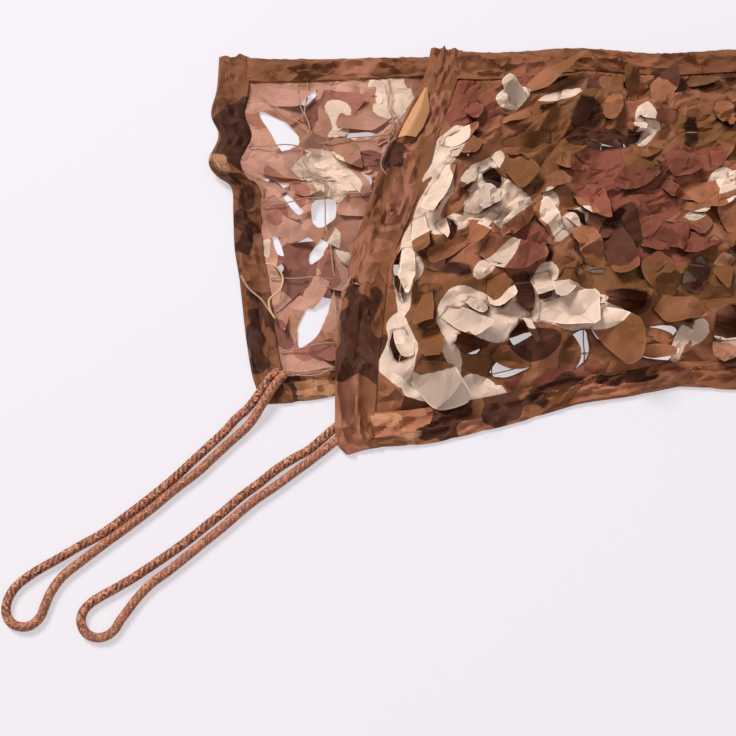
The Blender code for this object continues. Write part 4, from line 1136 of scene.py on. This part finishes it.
# %% Blobs of ink
# flat centre s, t, half length and half width in mm, direction of the length in degrees
BEIGE = (
    (.814, .238, 17, 26, 15), (.808, .196, 10, 26, 13), (.791, .172, 16, 11, 10), (.775, .216, 12, 19, 19),
    (.757, .185, 28, 18, 29), (.753, .133, 9, 19, 33), (.712, .168, 7, 27, 166), (.694, .157, 8, 19, 38),
    (.815, .128, 8, 34, 178), (.815, .171, 6, 36, 10), (.815, .069, 12, 28, 173), (.781, .075, 8, 28, 170),
    (.761, .090, 35, 16, 37), (.702, .084, 46, 17, 22), (.713, .106, 10, 21, 10), (.795, .042, 19, 10, 175),
    (.765, .035, 15, 12, 13), (.649, .249, 13, 20, 173), (.582, .180, 11, 19, 173), (.603, .155, 10, 5, 177),
    (.603, .048, 5, 12, 4), (.615, .039, 6, 15, 6), (.584, .038, 7, 10, 4), (.772, .288, 14, 13, 8),
    (.729, .285, 18, 8, 6), (.087, .208, 24, 33, 168), (.098, .272, 6, 12, 175), (.027, .143, 5, 10, 178),
    (.089, .131, 20, 5, 100), (.100, .258, 9, 6, 20),
)
DARK = (
    (.733, .102, 9, 20, 18), (.720, .057, 19, 14, 11), (.684, .241, 30, 10, 14), (.697, .260, 10, 14, 175),
    (.763, .069, 9, 6, 9), (.827, .074, 4, 13, 9), (.655, .076, 16, 11, 8), (.657, .141, 15, 28, 10),
    (.061, .041, 13, 11, 167), (.050, .119, 26, 16, 88), (.083, .282, 20, 7, 62), (.127, .220, 12, 13, 80),
    (.115, .186, 13, 8, 100), (.030, .060, 8, 16, 10),
)
RED_BROWN = (
    (.729, .136, 19, 26, 10), (.645, .173, 34, 26, 4), (.610, .210, 24, 20, 179), (.680, .206, 20, 32, 1),
    (.628, .128, 29, 22, 4), (.800, .276, 21, 22, 5), (.034, .173, 8, 12, 178), (.054, .200, 26, 7, 92),
    (.073, .118, 20, 9, 95), (.041, .278, 16, 9, 170), (.108, .285, 20, 14, 170), (.050, .050, 15, 12, 30),
)
TAPE_TAN = ((.823, .022, 7, 5, 20), (.046, .008, 15, 8, 0), (.007, .226, 9, 5, 100), (.806, .006, 6, 4, 0))
TAPE_ROSE = (
    (.851, .024, 34, 8, 90), (.835, .200, 34, 9, 80), (.848, .150, 26, 8, 95), (.650, .012, 40, 6, 0),
    (.768, .008, 20, 5, 0), (.838, .270, 30, 8, 95), (.815, .010, 16, 8, 0),
)
TAPE_DARK = (
    (.846, .090, 34, 13, 90), (.840, .060, 12, 8, 20), (.787, .013, 9, 15, 0), (.744, .014, 13, 14, 10),
    (.712, .018, 18, 6, 0), (.030, .012, 6, 10, 0), (.008, .055, 34, 7, 88), (.010, .165, 34, 6, 85),
    (.010, .265, 14, 12, 90), (.851, .236, 15, 9, 80), (.014, .238, 7, 12, 0), (.660, .020, 30, 5, 0),
)
print(f"{len(BEIGE + DARK + RED_BROWN)} blobs on the cloth have a place of their own, "
      f"and {len(TAPE_TAN + TAPE_ROSE + TAPE_DARK)} on the tapes")

# %% [markdown]
# ### From blobs to numbers on the cloth
# Chance adds blobs where the tables leave room. Then every point of a piece gets its depth in each ink.

# %% Depth in the blobs
FAR_OUTSIDE = -50.0  # the depth of a point that lies in no blob


def chance_blobs(seed, count, sizes, anywhere=False):
    """Blobs for the parts of the net that the tables leave out."""
    rng, found = random.Random(seed), []
    while len(found) < count:
        s, t = rng.uniform(0, NET_LENGTH), rng.uniform(0, NET_WIDTH)
        length = rng.uniform(*sizes)
        taken = s < 0.13 or (0.575 < s < 0.83 and 0.03 < t < 0.30)
        apart = 0.018 if anywhere else 0.030
        if (taken and not anywhere) or any(math.dist((s, t), other[:2]) < apart for other in found):
            continue
        found.append((s, t, length, length * rng.uniform(0.4, 0.75), rng.uniform(0, 180)))
    return tuple(found)


def depth_in(blobs, flat, seed, ragged=0.0, full=2.0):
    """Depth in mm of each flat point in the nearest blob, negative outside. full above 2 squares blobs up."""
    bent = flat + 0.0017 * np.column_stack([waves(flat, 0.040, seed), waves(flat, 0.040, seed + 1)])
    depth = np.full(len(flat), FAR_OUTSIDE)
    for s, t, length, width, direction in blobs:
        ahead = heading(direction)
        away = (bent - (s, t)) * 1000
        u, v = away @ ahead, away @ (-ahead[1], ahead[0])
        out = (np.abs(u / length) ** full + np.abs(v / width) ** full) ** (1 / full)
        depth = np.maximum(depth, (1 - out) * min(length, width))
    return depth + ragged * waves(flat, 0.019, seed + 5)


inks = {"beige": BEIGE + chance_blobs(1, 34, (12, 24)), "dark": DARK + chance_blobs(2, 44, (12, 26)),
        "red": RED_BROWN + chance_blobs(3, 40, (18, 34))}
tape_inks = {"rose": TAPE_ROSE + chance_blobs(13, 26, (10, 24), anywhere=True),
             "dark": TAPE_DARK + chance_blobs(12, 18, (14, 30), anywhere=True),
             "beige": TAPE_TAN}
print("blobs on the cloth:", {ink: len(blobs) for ink, blobs in inks.items()})
print("blobs on the tapes:", {ink: len(blobs) for ink, blobs in tape_inks.items()})


def depth_in_outline(outline, points):
    """Depth in mm of each point inside one outline of any shape, negative outside."""
    away = np.linalg.norm(points[:, None] - along(outline, np.linspace(0, 1, 160))[None], axis=2).min(axis=1)
    return 1000 * away * np.where(inside_polygon(points, outline), 1, -1)


def doubled_cloth(flat):
    """Depth in mm inside the leaves of the lower layer that lie folded under the cloth, where the colour gets
    painted shade.
    """
    depth = np.full(len(flat), FAR_OUTSIDE)
    for s, t, direction, length, width in PLACED_LEAVES:
        if s < FOLD_START:
            centre = (s, t) - length * heading(direction)
            under = leaf_outline(*centre, direction + 180, length, width, 30)
            close = np.where(np.abs(flat - under.mean(axis=0)).max(axis=1) < 0.05)[0]
            depth[close] = np.maximum(depth[close], depth_in_outline(under, flat[close]))
    return depth


def print_on(obj, flat, blobs_of, seed=40, ragged=0.0, full=2.0, grain=None):
    """Stores a piece's depths in each ink, its flat points, and the points that its creases follow."""
    for k, (name, blobs) in enumerate(blobs_of.items()):
        store(obj, name, depth_in(blobs, flat, seed + 7 * k, ragged, full))
    store(obj, "flat", np.column_stack([flat, np.zeros(len(flat))]))
    store(obj, "grain", np.column_stack([flat if grain is None else grain, np.zeros(len(flat))]))


# %% [markdown]
# ### Printed cloth as a finish
# The inks soak in, so the reverse of the cloth shows the same blobs, only paler and pinker. One stored
# number says which side is up. Slow noise makes the brown drift towards olive as worn cloth does, and a
# fine weave in the relief breaks the highlights. Dyed cotton has a soft sheen and no clear reflections.
# The colour also carries painted light: shade in the creases, beside the cuts and where the cloth lies
# doubled, and a highlight along the folds.

# %% The cloth's finish and piece
WEAVE_DEPTH, WEAR_DEPTH = 0.00012, 0.0003
# each ink as it looks on the face of the cloth and on its reverse
CLOTH_INKS = {
    "brown": (tone(154, 98, 68), tone(196, 144, 124)), "olive": (tone(126, 80, 46), tone(172, 120, 94)),
    "red": (tone(136, 76, 58), tone(166, 106, 88)), "dark": (tone(84, 46, 30), tone(134, 84, 70)),
    "beige": (tone(230, 201, 180), tone(232, 202, 180)),
}
TAPE_INKS = {
    "brown": (tone(146, 92, 62),) * 2, "olive": (tone(130, 80, 50),) * 2, "rose": (tone(164, 106, 80),) * 2,
    "dark": (tone(80, 45, 30),) * 2, "beige": (tone(186, 132, 96),) * 2,
}


def crumpled(paint, flat_at, scale):
    """Height in metres of small flat facets, each tilted its own way, and the distance to their creases."""
    drawn = paint.noise(flat_at, 30.0, 2.0, 1)
    warped = paint.node("VectorMath", {"operation": "MULTIPLY_ADD"}, {0: drawn, 1: (0.030,) * 3, 2: flat_at})
    cell = {"Vector": warped, "Scale": scale}
    tilt = paint.node("TexVoronoi", {}, cell, 1)
    tilt = paint.node("VectorMath", {"operation": "SUBTRACT"}, {0: tilt, 1: (0.5,) * 3})
    middle = paint.node("TexVoronoi", {}, cell, 2)
    away = paint.node("VectorMath", {"operation": "SUBTRACT"}, {0: warped, 1: middle})
    height = paint.node("VectorMath", {"operation": "DOT_PRODUCT"}, {0: tilt, 1: away}, 1)
    return height, paint.node("TexVoronoi", {"feature": "DISTANCE_TO_EDGE"}, cell)


def printed(name, colours, facets, steep, crease_shade_strength, soft):
    """A printed cloth. facets is how many crumpled facets there are to a metre, steep how tilted they are,
    the next number how dark the painted shade along their creases is, and soft how wide the inks' edges are."""
    paint = Paint(name, Roughness=0.66, Sheen_Weight=0.03, Sheen_Roughness=0.5, Specular_IOR_Level=0.16)
    flat_at = paint.field("flat", "Vector")
    drift = paint.noise(flat_at, 16.0, 3.0)
    fleck = paint.noise(flat_at, 260.0, 2.0)
    worn = paint.noise(flat_at, 75.0, 4.0)
    reverse = paint.field("reverse")
    edge = (fleck - 0.5) * 0.9
    colour = paint.mix(paint.ramp(drift, 0.44, 0.58), paint.mix(reverse, *colours["brown"]),
                       paint.mix(reverse, *colours["olive"]))
    for ink in list(colours)[2:]:
        colour = paint.mix(paint.ramp(paint.field(ink) + edge, -soft, soft), colour,
                           paint.mix(reverse, *colours[ink]))
    height, crease = crumpled(paint, paint.field("grain", "Vector"), facets)
    # painted shade: the colour is darkened along the creases between the facets
    crease_shade_mask = paint.ramp(crease, 0.035, 0.0) * paint.ramp(worn, 0.42, 0.62)
    frayed = paint.ramp(paint.field("cut_edge"), 0.72, 0.90) * (0.22 - reverse * 0.12)
    # paler along the folds: partly rubbed wear, partly a painted highlight on the fold lines
    fold_wear_and_highlight = paint.ramp(paint.field("fold_line"), 0.78, 1.0) * paint.ramp(worn, 0.40, 0.65) * 0.16
    # painted shadow: the cloth of the upper layer is darkened beside each cut
    cut_shade = paint.ramp(paint.field("under_cut"), 0.25, 1.0)
    # painted shade where a lower leaf lies folded under the cloth, as two layers let less light through
    doubled = paint.ramp(paint.field("doubled"), -0.3, 0.3) * 0.22
    # lot is the brightness of each leaf or tape; on the leaves it is partly painted shade
    shade = (paint.field("lot") + (worn - 0.5) * 0.26 + (fleck - 0.5) * 0.10 + frayed + fold_wear_and_highlight
             - doubled - crease_shade_mask * crease_shade_strength - cut_shade * 0.72)
    colour = paint.node("VectorMath", {"operation": "SCALE"}, {0: colour, 3: shade})
    paint.set("Base Color", colour)
    weave = paint.noise(flat_at, 1500.0, 1.0)
    paint.relief(height * (steep - reverse * 0.35) + weave * WEAVE_DEPTH + worn * WEAR_DEPTH, 1.0)
    return paint


cloth_paint = printed("printed_cloth", CLOTH_INKS, 62.0, 0.75, 0.10, 0.2)
cloth = new_mesh_object("leaf_cloth", settled, triangles)
print_on(cloth, flat, inks)
lower_side = flat[:, 0] < FOLD_MIDDLE
store(cloth, "reverse", np.where(lower_side, 1.0 - turned, 0.35 * turned))
store(cloth, "cut_edge", cut_edge)
store(cloth, "fold_line", fold_line)
# where the upper layer's cloth meets a cut, for the painted shadow beside it
store(cloth, "under_cut", cut_edge & (point_leaf < 0) & (flat[:, 0] > FOLD_END))
# where the cloth lies doubled, for its painted shade
store(cloth, "doubled", doubled_cloth(flat))
# each leaf is painted a little lighter or darker than the cloth between the leaves, at random: partly a tone
# of its own, partly painted shade for the way it faces the light
leaf_tones_and_shades = np.random.default_rng(31).uniform(0.74, 1.18, len(leaves) + 1)
leaf_tones_and_shades[-1] = 1.0
store(cloth, "lot", leaf_tones_and_shades[point_leaf])
finish_piece(cloth, cloth_paint, "scrim", "scrim_panel")
cloth.data.set_sharp_from_angle(angle=math.radians(24))
print(f"leaf_cloth: {len(cloth.data.polygons)} faces")

# %% [markdown]
# ## Strings
# The square string net is knotted from thin tan twine. It lies on top of the lower layer, which is reverse
# side up, and under the upper one. Each string is a thin tube that wanders a little between its knots. A
# few loose threads have slipped out of place, and one short tie with two free ends lies on the lower layer.

# %% Net, loose threads and tie
STRING_RADIUS, TIE_RADIUS, STRING_STEP, STRING_LOWEST = 0.00056, 0.0008, 0.0018, 0.0001
KNOT_RADIUS, KNOT_RISE = 0.0013, 0.0004
# offsets from the net's surface, negative towards the cloth's reverse side
STRING_OFFSET, STRING_SAG, KNOT_OFFSET, LOOSE_OFFSET = -0.0016, -0.0010, -0.0020, -0.0034

string_paint = Paint("tan_twine", Roughness=0.75, Sheen_Weight=0.1)
twist = string_paint.noise(string_paint.field("flat", "Vector"), 700.0, 2.0)
string_paint.set("Base Color", string_paint.mix(twist, tone(150, 104, 82), tone(206, 164, 138)))


def tubes_piece(name, lines, radius, sides=6):
    """Several thin tubes as one piece."""
    points, faces, start = [], [], 0
    for line, thickness in lines:
        rings, _, _ = round_tube(np.asarray(line), STRING_STEP, radius * thickness, sides)
        some, quads = loft(rings)
        points.append(some)
        faces += [[v + start for v in f] for f in quads]
        start += len(some)
    points = np.vstack(points)
    points[:, 2] = np.maximum(points[:, 2], STRING_LOWEST)
    piece = new_mesh_object(name, points, faces)
    store(piece, "flat", points)
    return piece


def string_between(a, b, seed):
    """A string's line on the laid surface between two flat points, wandering a little."""
    share = np.linspace(0, 1, 24)
    way = np.array(b) - np.array(a)
    across = np.array([-way[1], way[0]])
    bow = (0.050 * np.sin(np.pi * share) * math.sin(seed * 2.3 + 1)
           + 0.014 * np.sin(3 * np.pi * share + seed) * np.sin(np.pi * share))
    path = np.array(a) + share[:, None] * way + bow[:, None] * across
    edge = smooth(room_inside(path[:, 0], path[:, 1]) / 0.020)
    return lay(path[:, 0], path[:, 1], STRING_OFFSET + STRING_SAG * np.sin(np.pi * share) * edge)


def knot_line(s, t):
    """A small overhand turn round a crossing."""
    turn = np.linspace(0, 3.2 * np.pi, 30)
    place = lay([s], [t], KNOT_OFFSET)[0]
    return place + np.column_stack([KNOT_RADIUS * np.cos(turn), KNOT_RADIUS * np.sin(turn),
                                    KNOT_RISE * np.sin(turn * 0.8)])


MOVED_KNOTS = {(0, 2): (0.076, 0.182), (0, 1): (0.077, 0.102), (0, 3): (0.073, 0.242)}  # pulled off the grid


def strings_from(i, j):
    """The knot at a crossing and its strings: on to the next knots, and to the tapes from the outer ones."""
    s, t = KNOTS_S[i], KNOTS_T[j]
    here = MOVED_KNOTS.get((i, j), (s, t))
    if i + 1 < len(KNOTS_S):
        ways = [((KNOTS_S[i + 1], t), i + 3 * j)]
    else:
        ways = [((NET_LENGTH - float(end_width("upper", t)), t), 1)]
    if i == 0:
        ways.append(((float(end_width("lower", t)), t), 2))
    if j + 1 < len(KNOTS_T):
        ways.append((MOVED_KNOTS.get((i, j + 1), (s, KNOTS_T[j + 1])), 2 * i + j))
    else:
        ways.append(((s, NET_WIDTH - float(side_width("far", s))), 4))
    if j == 0:
        ways.append(((s, float(side_width("near", s))), 5))
    return [knot_line(*here), *(string_between(here, there, seed) for there, seed in ways)]


net_lines = [(line, 1.0) for i in range(len(KNOTS_S)) for j in range(len(KNOTS_T))
             for line in strings_from(i, j)]  # each with its thickness, as a share of a string's
LOOSE_THREADS = (
    ((.067, .228), (.072, .219), (.075, .206), (.079, .195), (.079, .188), (.076, .182)),
    ((.067, .308), (.075, .275), (.074, .240)),
    ((.035, .303), (.060, .278), (.079, .247), (.089, .242)),
    ((.140, .306), (.146, .278), (.148, .257)),
)
OVER_TAPE = (  # threads that lie on a tape: route, offset from the net's surface, thickness
    (((.855, .249), (.860, .243), (.860, .232), (.858, .223), (.851, .215)), 0.0075, 0.8),
    (((.002, .113), (.007, .101), (.016, .091), (.021, .081), (.025, .075)), -0.0062, 1.5),
    (((.022, .026), (.030, .0215), (.038, .022), (.053, .0215), (.066, .0205)), -0.0060, 1.1),
    (((.022, .025), (.030, .0235), (.038, .0205), (.053, .0190), (.066, .0225)), -0.0064, 1.1),
)
for route, height, thick in [(route, LOOSE_OFFSET, 0.8) for route in LOOSE_THREADS] + list(OVER_TAPE):
    path = rounded_line(route, 10)
    net_lines.append((lay(path[:, 0], path[:, 1], height), thick))
strings = tubes_piece("knotted_strings", net_lines, STRING_RADIUS)
finish_piece(strings, string_paint, "string", "string_net")

TIE_ROUTE = (
    (-0.0832, 0.0876, 0.0085), (-0.0757, 0.0849, 0.0100), (-0.0707, 0.0789, 0.0096),
    (-0.0690, 0.0721, 0.0092), (-0.0713, 0.0641, 0.0092), (-0.0767, 0.0584, 0.0102),
    (-0.0799, 0.0541, 0.0102), (-0.0789, 0.0465, 0.0094), (-0.0748, 0.0390, 0.0086),
)
tie_paint = Paint("pale_twine", Roughness=0.7, Sheen_Weight=0.1)
twist = tie_paint.noise(tie_paint.field("flat", "Vector"), 500.0)
tie_paint.set("Base Color", tie_paint.mix(twist, tone(206, 158, 106), tone(240, 206, 158)))
tie = tubes_piece("loose_tie", [(rounded_line(TIE_ROUTE) - ORIGIN, 1.0)], TIE_RADIUS, 8)
finish_piece(tie, tie_paint, "string", "tie_string")
print(f"strings: {len(net_lines)} tubes, {len(strings.data.polygons)} faces")

# %% [markdown]
# ## Edge tapes
# The border is a wide tape, folded over the net's edge and sewn. It is thicker than the garnish and has been
# pulled, so it has long wrinkles along it and short ones across, and a groove where the stitches pull it
# down. We loft it from many rings, and raise the side that shows by waves that are stretched along the tape.

# %% Loft the four tapes
def ridged(p, wavelength, seed):
    """Sharp-edged folds, about -1 to 1."""
    return 1.0 - 1.6 * np.abs(np.tanh(1.3 * waves(p, wavelength, seed)))


# where the cords go into the tapes, which bulge there
CORD_MOUTHS = [np.array(p) - ORIGIN[:2] for p in ((-0.0225, -0.0490), (-0.0225, -0.0600), (-0.0660, -0.0050))]
MOUTH_BULGE, MOUTH_REACH, TAPE_LOWEST = 0.0030, 0.010, 0.0001
TAPE_POINTS = 15  # points over the tape; every second one is repeated under it
TAPE_SWELL, EDGE_BAND = 0.0008, 0.10  # the band is a share of the tape's width
# (height, wavelength) of the long ridges, the short ripples, the ridges across and the outer edge's wander
LONG_RIDGES, RIPPLES = (0.0036, 0.016), (0.0007, 0.012)
CROSS_RIDGES, WANDER = (0.0012, 0.022), (0.0026, 0.034)
STITCH_AT, STITCH_WIDTH, STITCH_DEPTH = 0.88, 0.035, 0.0009  # the first two as shares of the tape's width


def tape_wrinkles(station, across, wide, seed):
    """How far a tape's wrinkles stand off its plain side, at a station and a share of its width."""
    line = np.column_stack([station * 0.30 + across * wide * 0.35, across * wide])
    folds = (LONG_RIDGES[0] * ridged(line, LONG_RIDGES[1], seed)
             + RIPPLES[0] * waves(line * (3.2, 0.6), RIPPLES[1], seed + 1))
    folds += CROSS_RIDGES[0] * ridged(np.column_stack([station, across * wide]), CROSS_RIDGES[1], seed + 2)
    stitch = np.exp(-(((across - STITCH_AT) / STITCH_WIDTH) ** 2))
    swell = np.sin(np.pi * np.clip(across, 0, 1)) ** 0.6
    return folds * swell + TAPE_SWELL * swell - STITCH_DEPTH * stitch


def tape_piece(name, node, stations, width_at, flat_at, seed, faded):
    """A tape lofted along its stations. flat_at(station, distance from the outer edge) gives flat s, t, and
    faded(s, t) how light the cloth is there. The rings run inwards over the tape and back under it."""
    top = np.linspace(0.0, 1.0, TAPE_POINTS)
    half = TAPE_THICKNESS / 2
    profile = half * np.interp(top, (0, 0.05, 0.15, 0.88, 1.0), (0.15, 0.80, 1.0, 1.0, 0.80))
    share = np.concatenate([top, top[-2:0:-2]])
    rise = np.concatenate([profile, -half * np.interp(top[-2:0:-2], (0, 0.1, 0.9, 1), (0.3, 1, 1, 0.3))])
    station = np.repeat(stations, len(share))
    across = np.tile(share, len(stations))
    wide = np.repeat([width_at(x) for x in stations], len(share))
    s, t = flat_at(station, across * wide)
    offset = np.tile(rise, len(stations))
    # on the lower layer "out" is down, so the side that shows is the negative one
    side = np.where(s < FOLD_START, -1.0, 1.0)
    lift = (offset * side > 0) * tape_wrinkles(station, across, wide, seed)
    for mouth in CORD_MOUTHS:
        away = np.hypot(*(lay(s, t)[:, :2] - mouth).T)
        lift += MOUTH_BULGE * np.exp(-((away / MOUTH_REACH) ** 2)) * (lift != 0)
    where = lay(s, t, offset + side * lift)
    outer = smooth((EDGE_BAND - across) / EDGE_BAND) * WANDER[0]
    wander = outer * ridged(np.column_stack([station, station * 0]), WANDER[1], seed + 3)
    where[:, 1] += wander * 0.2
    where[:, 2] = np.maximum(where[:, 2], TAPE_LOWEST)
    points, faces = loft(where.reshape(len(stations), len(share), 3))
    piece = new_mesh_object(name, points, faces)
    flat_points = np.column_stack([s, t])
    print_on(piece, flat_points, tape_inks, seed, 1.5, 5.0,
             np.column_stack([station * 0.36 + across * wide * 0.3, across * wide]))
    for field, value in (("reverse", 0.0), ("doubled", FAR_OUTSIDE), ("under_cut", 0.0)):
        store(piece, field, np.full(len(s), value))
    store(piece, "lot", faded(s, t))
    finish_piece(piece, tape_paint, "tape", node)
    piece.data.set_sharp_from_angle(angle=math.radians(38))
    return piece


tape_paint = printed("printed_tape", TAPE_INKS, 58.0, 1.3, 0.46, 0.5)


def side_stations(t, count):
    """Stations of a side's tape, from a little way under one end's tape to as far under the other's."""
    return np.linspace(float(end_width("lower", t)) - UNDER_TAPE,
                       NET_LENGTH - float(end_width("upper", t)) + UNDER_TAPE, count)


end_stations = np.linspace(0, NET_WIDTH, 190)
tapes = [
    tape_piece("near_tape", "tape_near_side", side_stations(0.013, 380), lambda s: side_width("near", s),
               lambda s, d: (s, d), 31, lambda s, t: np.where(s > FOLD_END, 1.19, 1.0)),
    tape_piece("far_tape", "tape_far_side", side_stations(0.327, 330), lambda s: side_width("far", s),
               lambda s, d: (s, NET_WIDTH - d), 32, lambda s, t: np.full(len(s), 1.0)),
    tape_piece("lower_end_tape", "tape_lower_end", end_stations, lambda t: end_width("lower", t),
               lambda t, d: (d, t), 33, lambda s, t: np.full(len(s), 0.85)),
    tape_piece("upper_end_tape", "tape_upper_end", end_stations, lambda t: end_width("upper", t),
               lambda t, d: (NET_LENGTH - d, t), 34, lambda s, t: 1.05 - 0.13 * smooth((t - 0.07) / 0.06)),
]
print("tapes:", {tape.name: len(tape.data.polygons) for tape in tapes})

# %% [markdown]
# ### A turned-up corner
# Near the top of the upper end tape a pointed end of the tape's cloth has turned up and shows its lighter
# side. It is a small fan of points on the laid surface, raised along the middle to make one ridge.

# %% The turned-up flap
FLAP_SIDES = (((.8545, .2500), (.8560, .2640), (.8565, .2800), (.8540, .3010)),
              ((.8400, .2510), (.8385, .2620), (.8410, .2800), (.8520, .3010)))
FLAP_ROWS, FLAP_POINTS, FLAP_CLEAR, FLAP_RIDGE = 16, 9, 0.0035, 0.0055


def turned_flap():
    """A mesh between the flap's two sides, row by row, raised along its middle."""
    left, right = (along(np.array(side), np.linspace(0, 1, FLAP_ROWS)) for side in FLAP_SIDES)
    share = np.linspace(0, 1, FLAP_POINTS)
    flat_points = (left[:, None] * (1 - share[:, None]) + right[:, None] * share[:, None]).reshape(-1, 2)
    fall = np.sin(np.linspace(0.5, np.pi, FLAP_ROWS))
    ridge = np.tile(1 - np.abs(2 * share - 0.9), FLAP_ROWS) * np.repeat(fall, FLAP_POINTS)
    points = lay(*flat_points.T, TAPE_THICKNESS / 2 + FLAP_CLEAR + FLAP_RIDGE * ridge)
    corners = [r * FLAP_POINTS + k for r in range(FLAP_ROWS - 1) for k in range(FLAP_POINTS - 1)]
    faces = [(n, n + 1, n + 1 + FLAP_POINTS, n + FLAP_POINTS) for n in corners]
    flap = new_mesh_object("turned_flap", points, faces)
    store(flap, "flat", np.column_stack([flat_points, ridge]))
    return finish_piece(flap, flap_paint, "tape")


flap_paint = Paint("orange_tan_cloth", Roughness=0.65)
faded_patches = flap_paint.noise(flap_paint.field("flat", "Vector"), 120.0, 3.0)
flap_paint.set("Base Color", flap_paint.mix(faded_patches, tone(178, 116, 70), tone(224, 168, 118)))
flap = turned_flap()
print(f"flap: {len(flap.data.polygons)} faces")

# %% [markdown]
# Last, the table gets its pale finish.

# %% The table's finish
white = Paint("white_table", Roughness=0.85, Base_Color=(0.38, 0.365, 0.386, 1),
              Emission_Color=(0.90, 0.865, 0.915, 1), Emission_Strength=0.545)
table.data.materials.append(white.material)
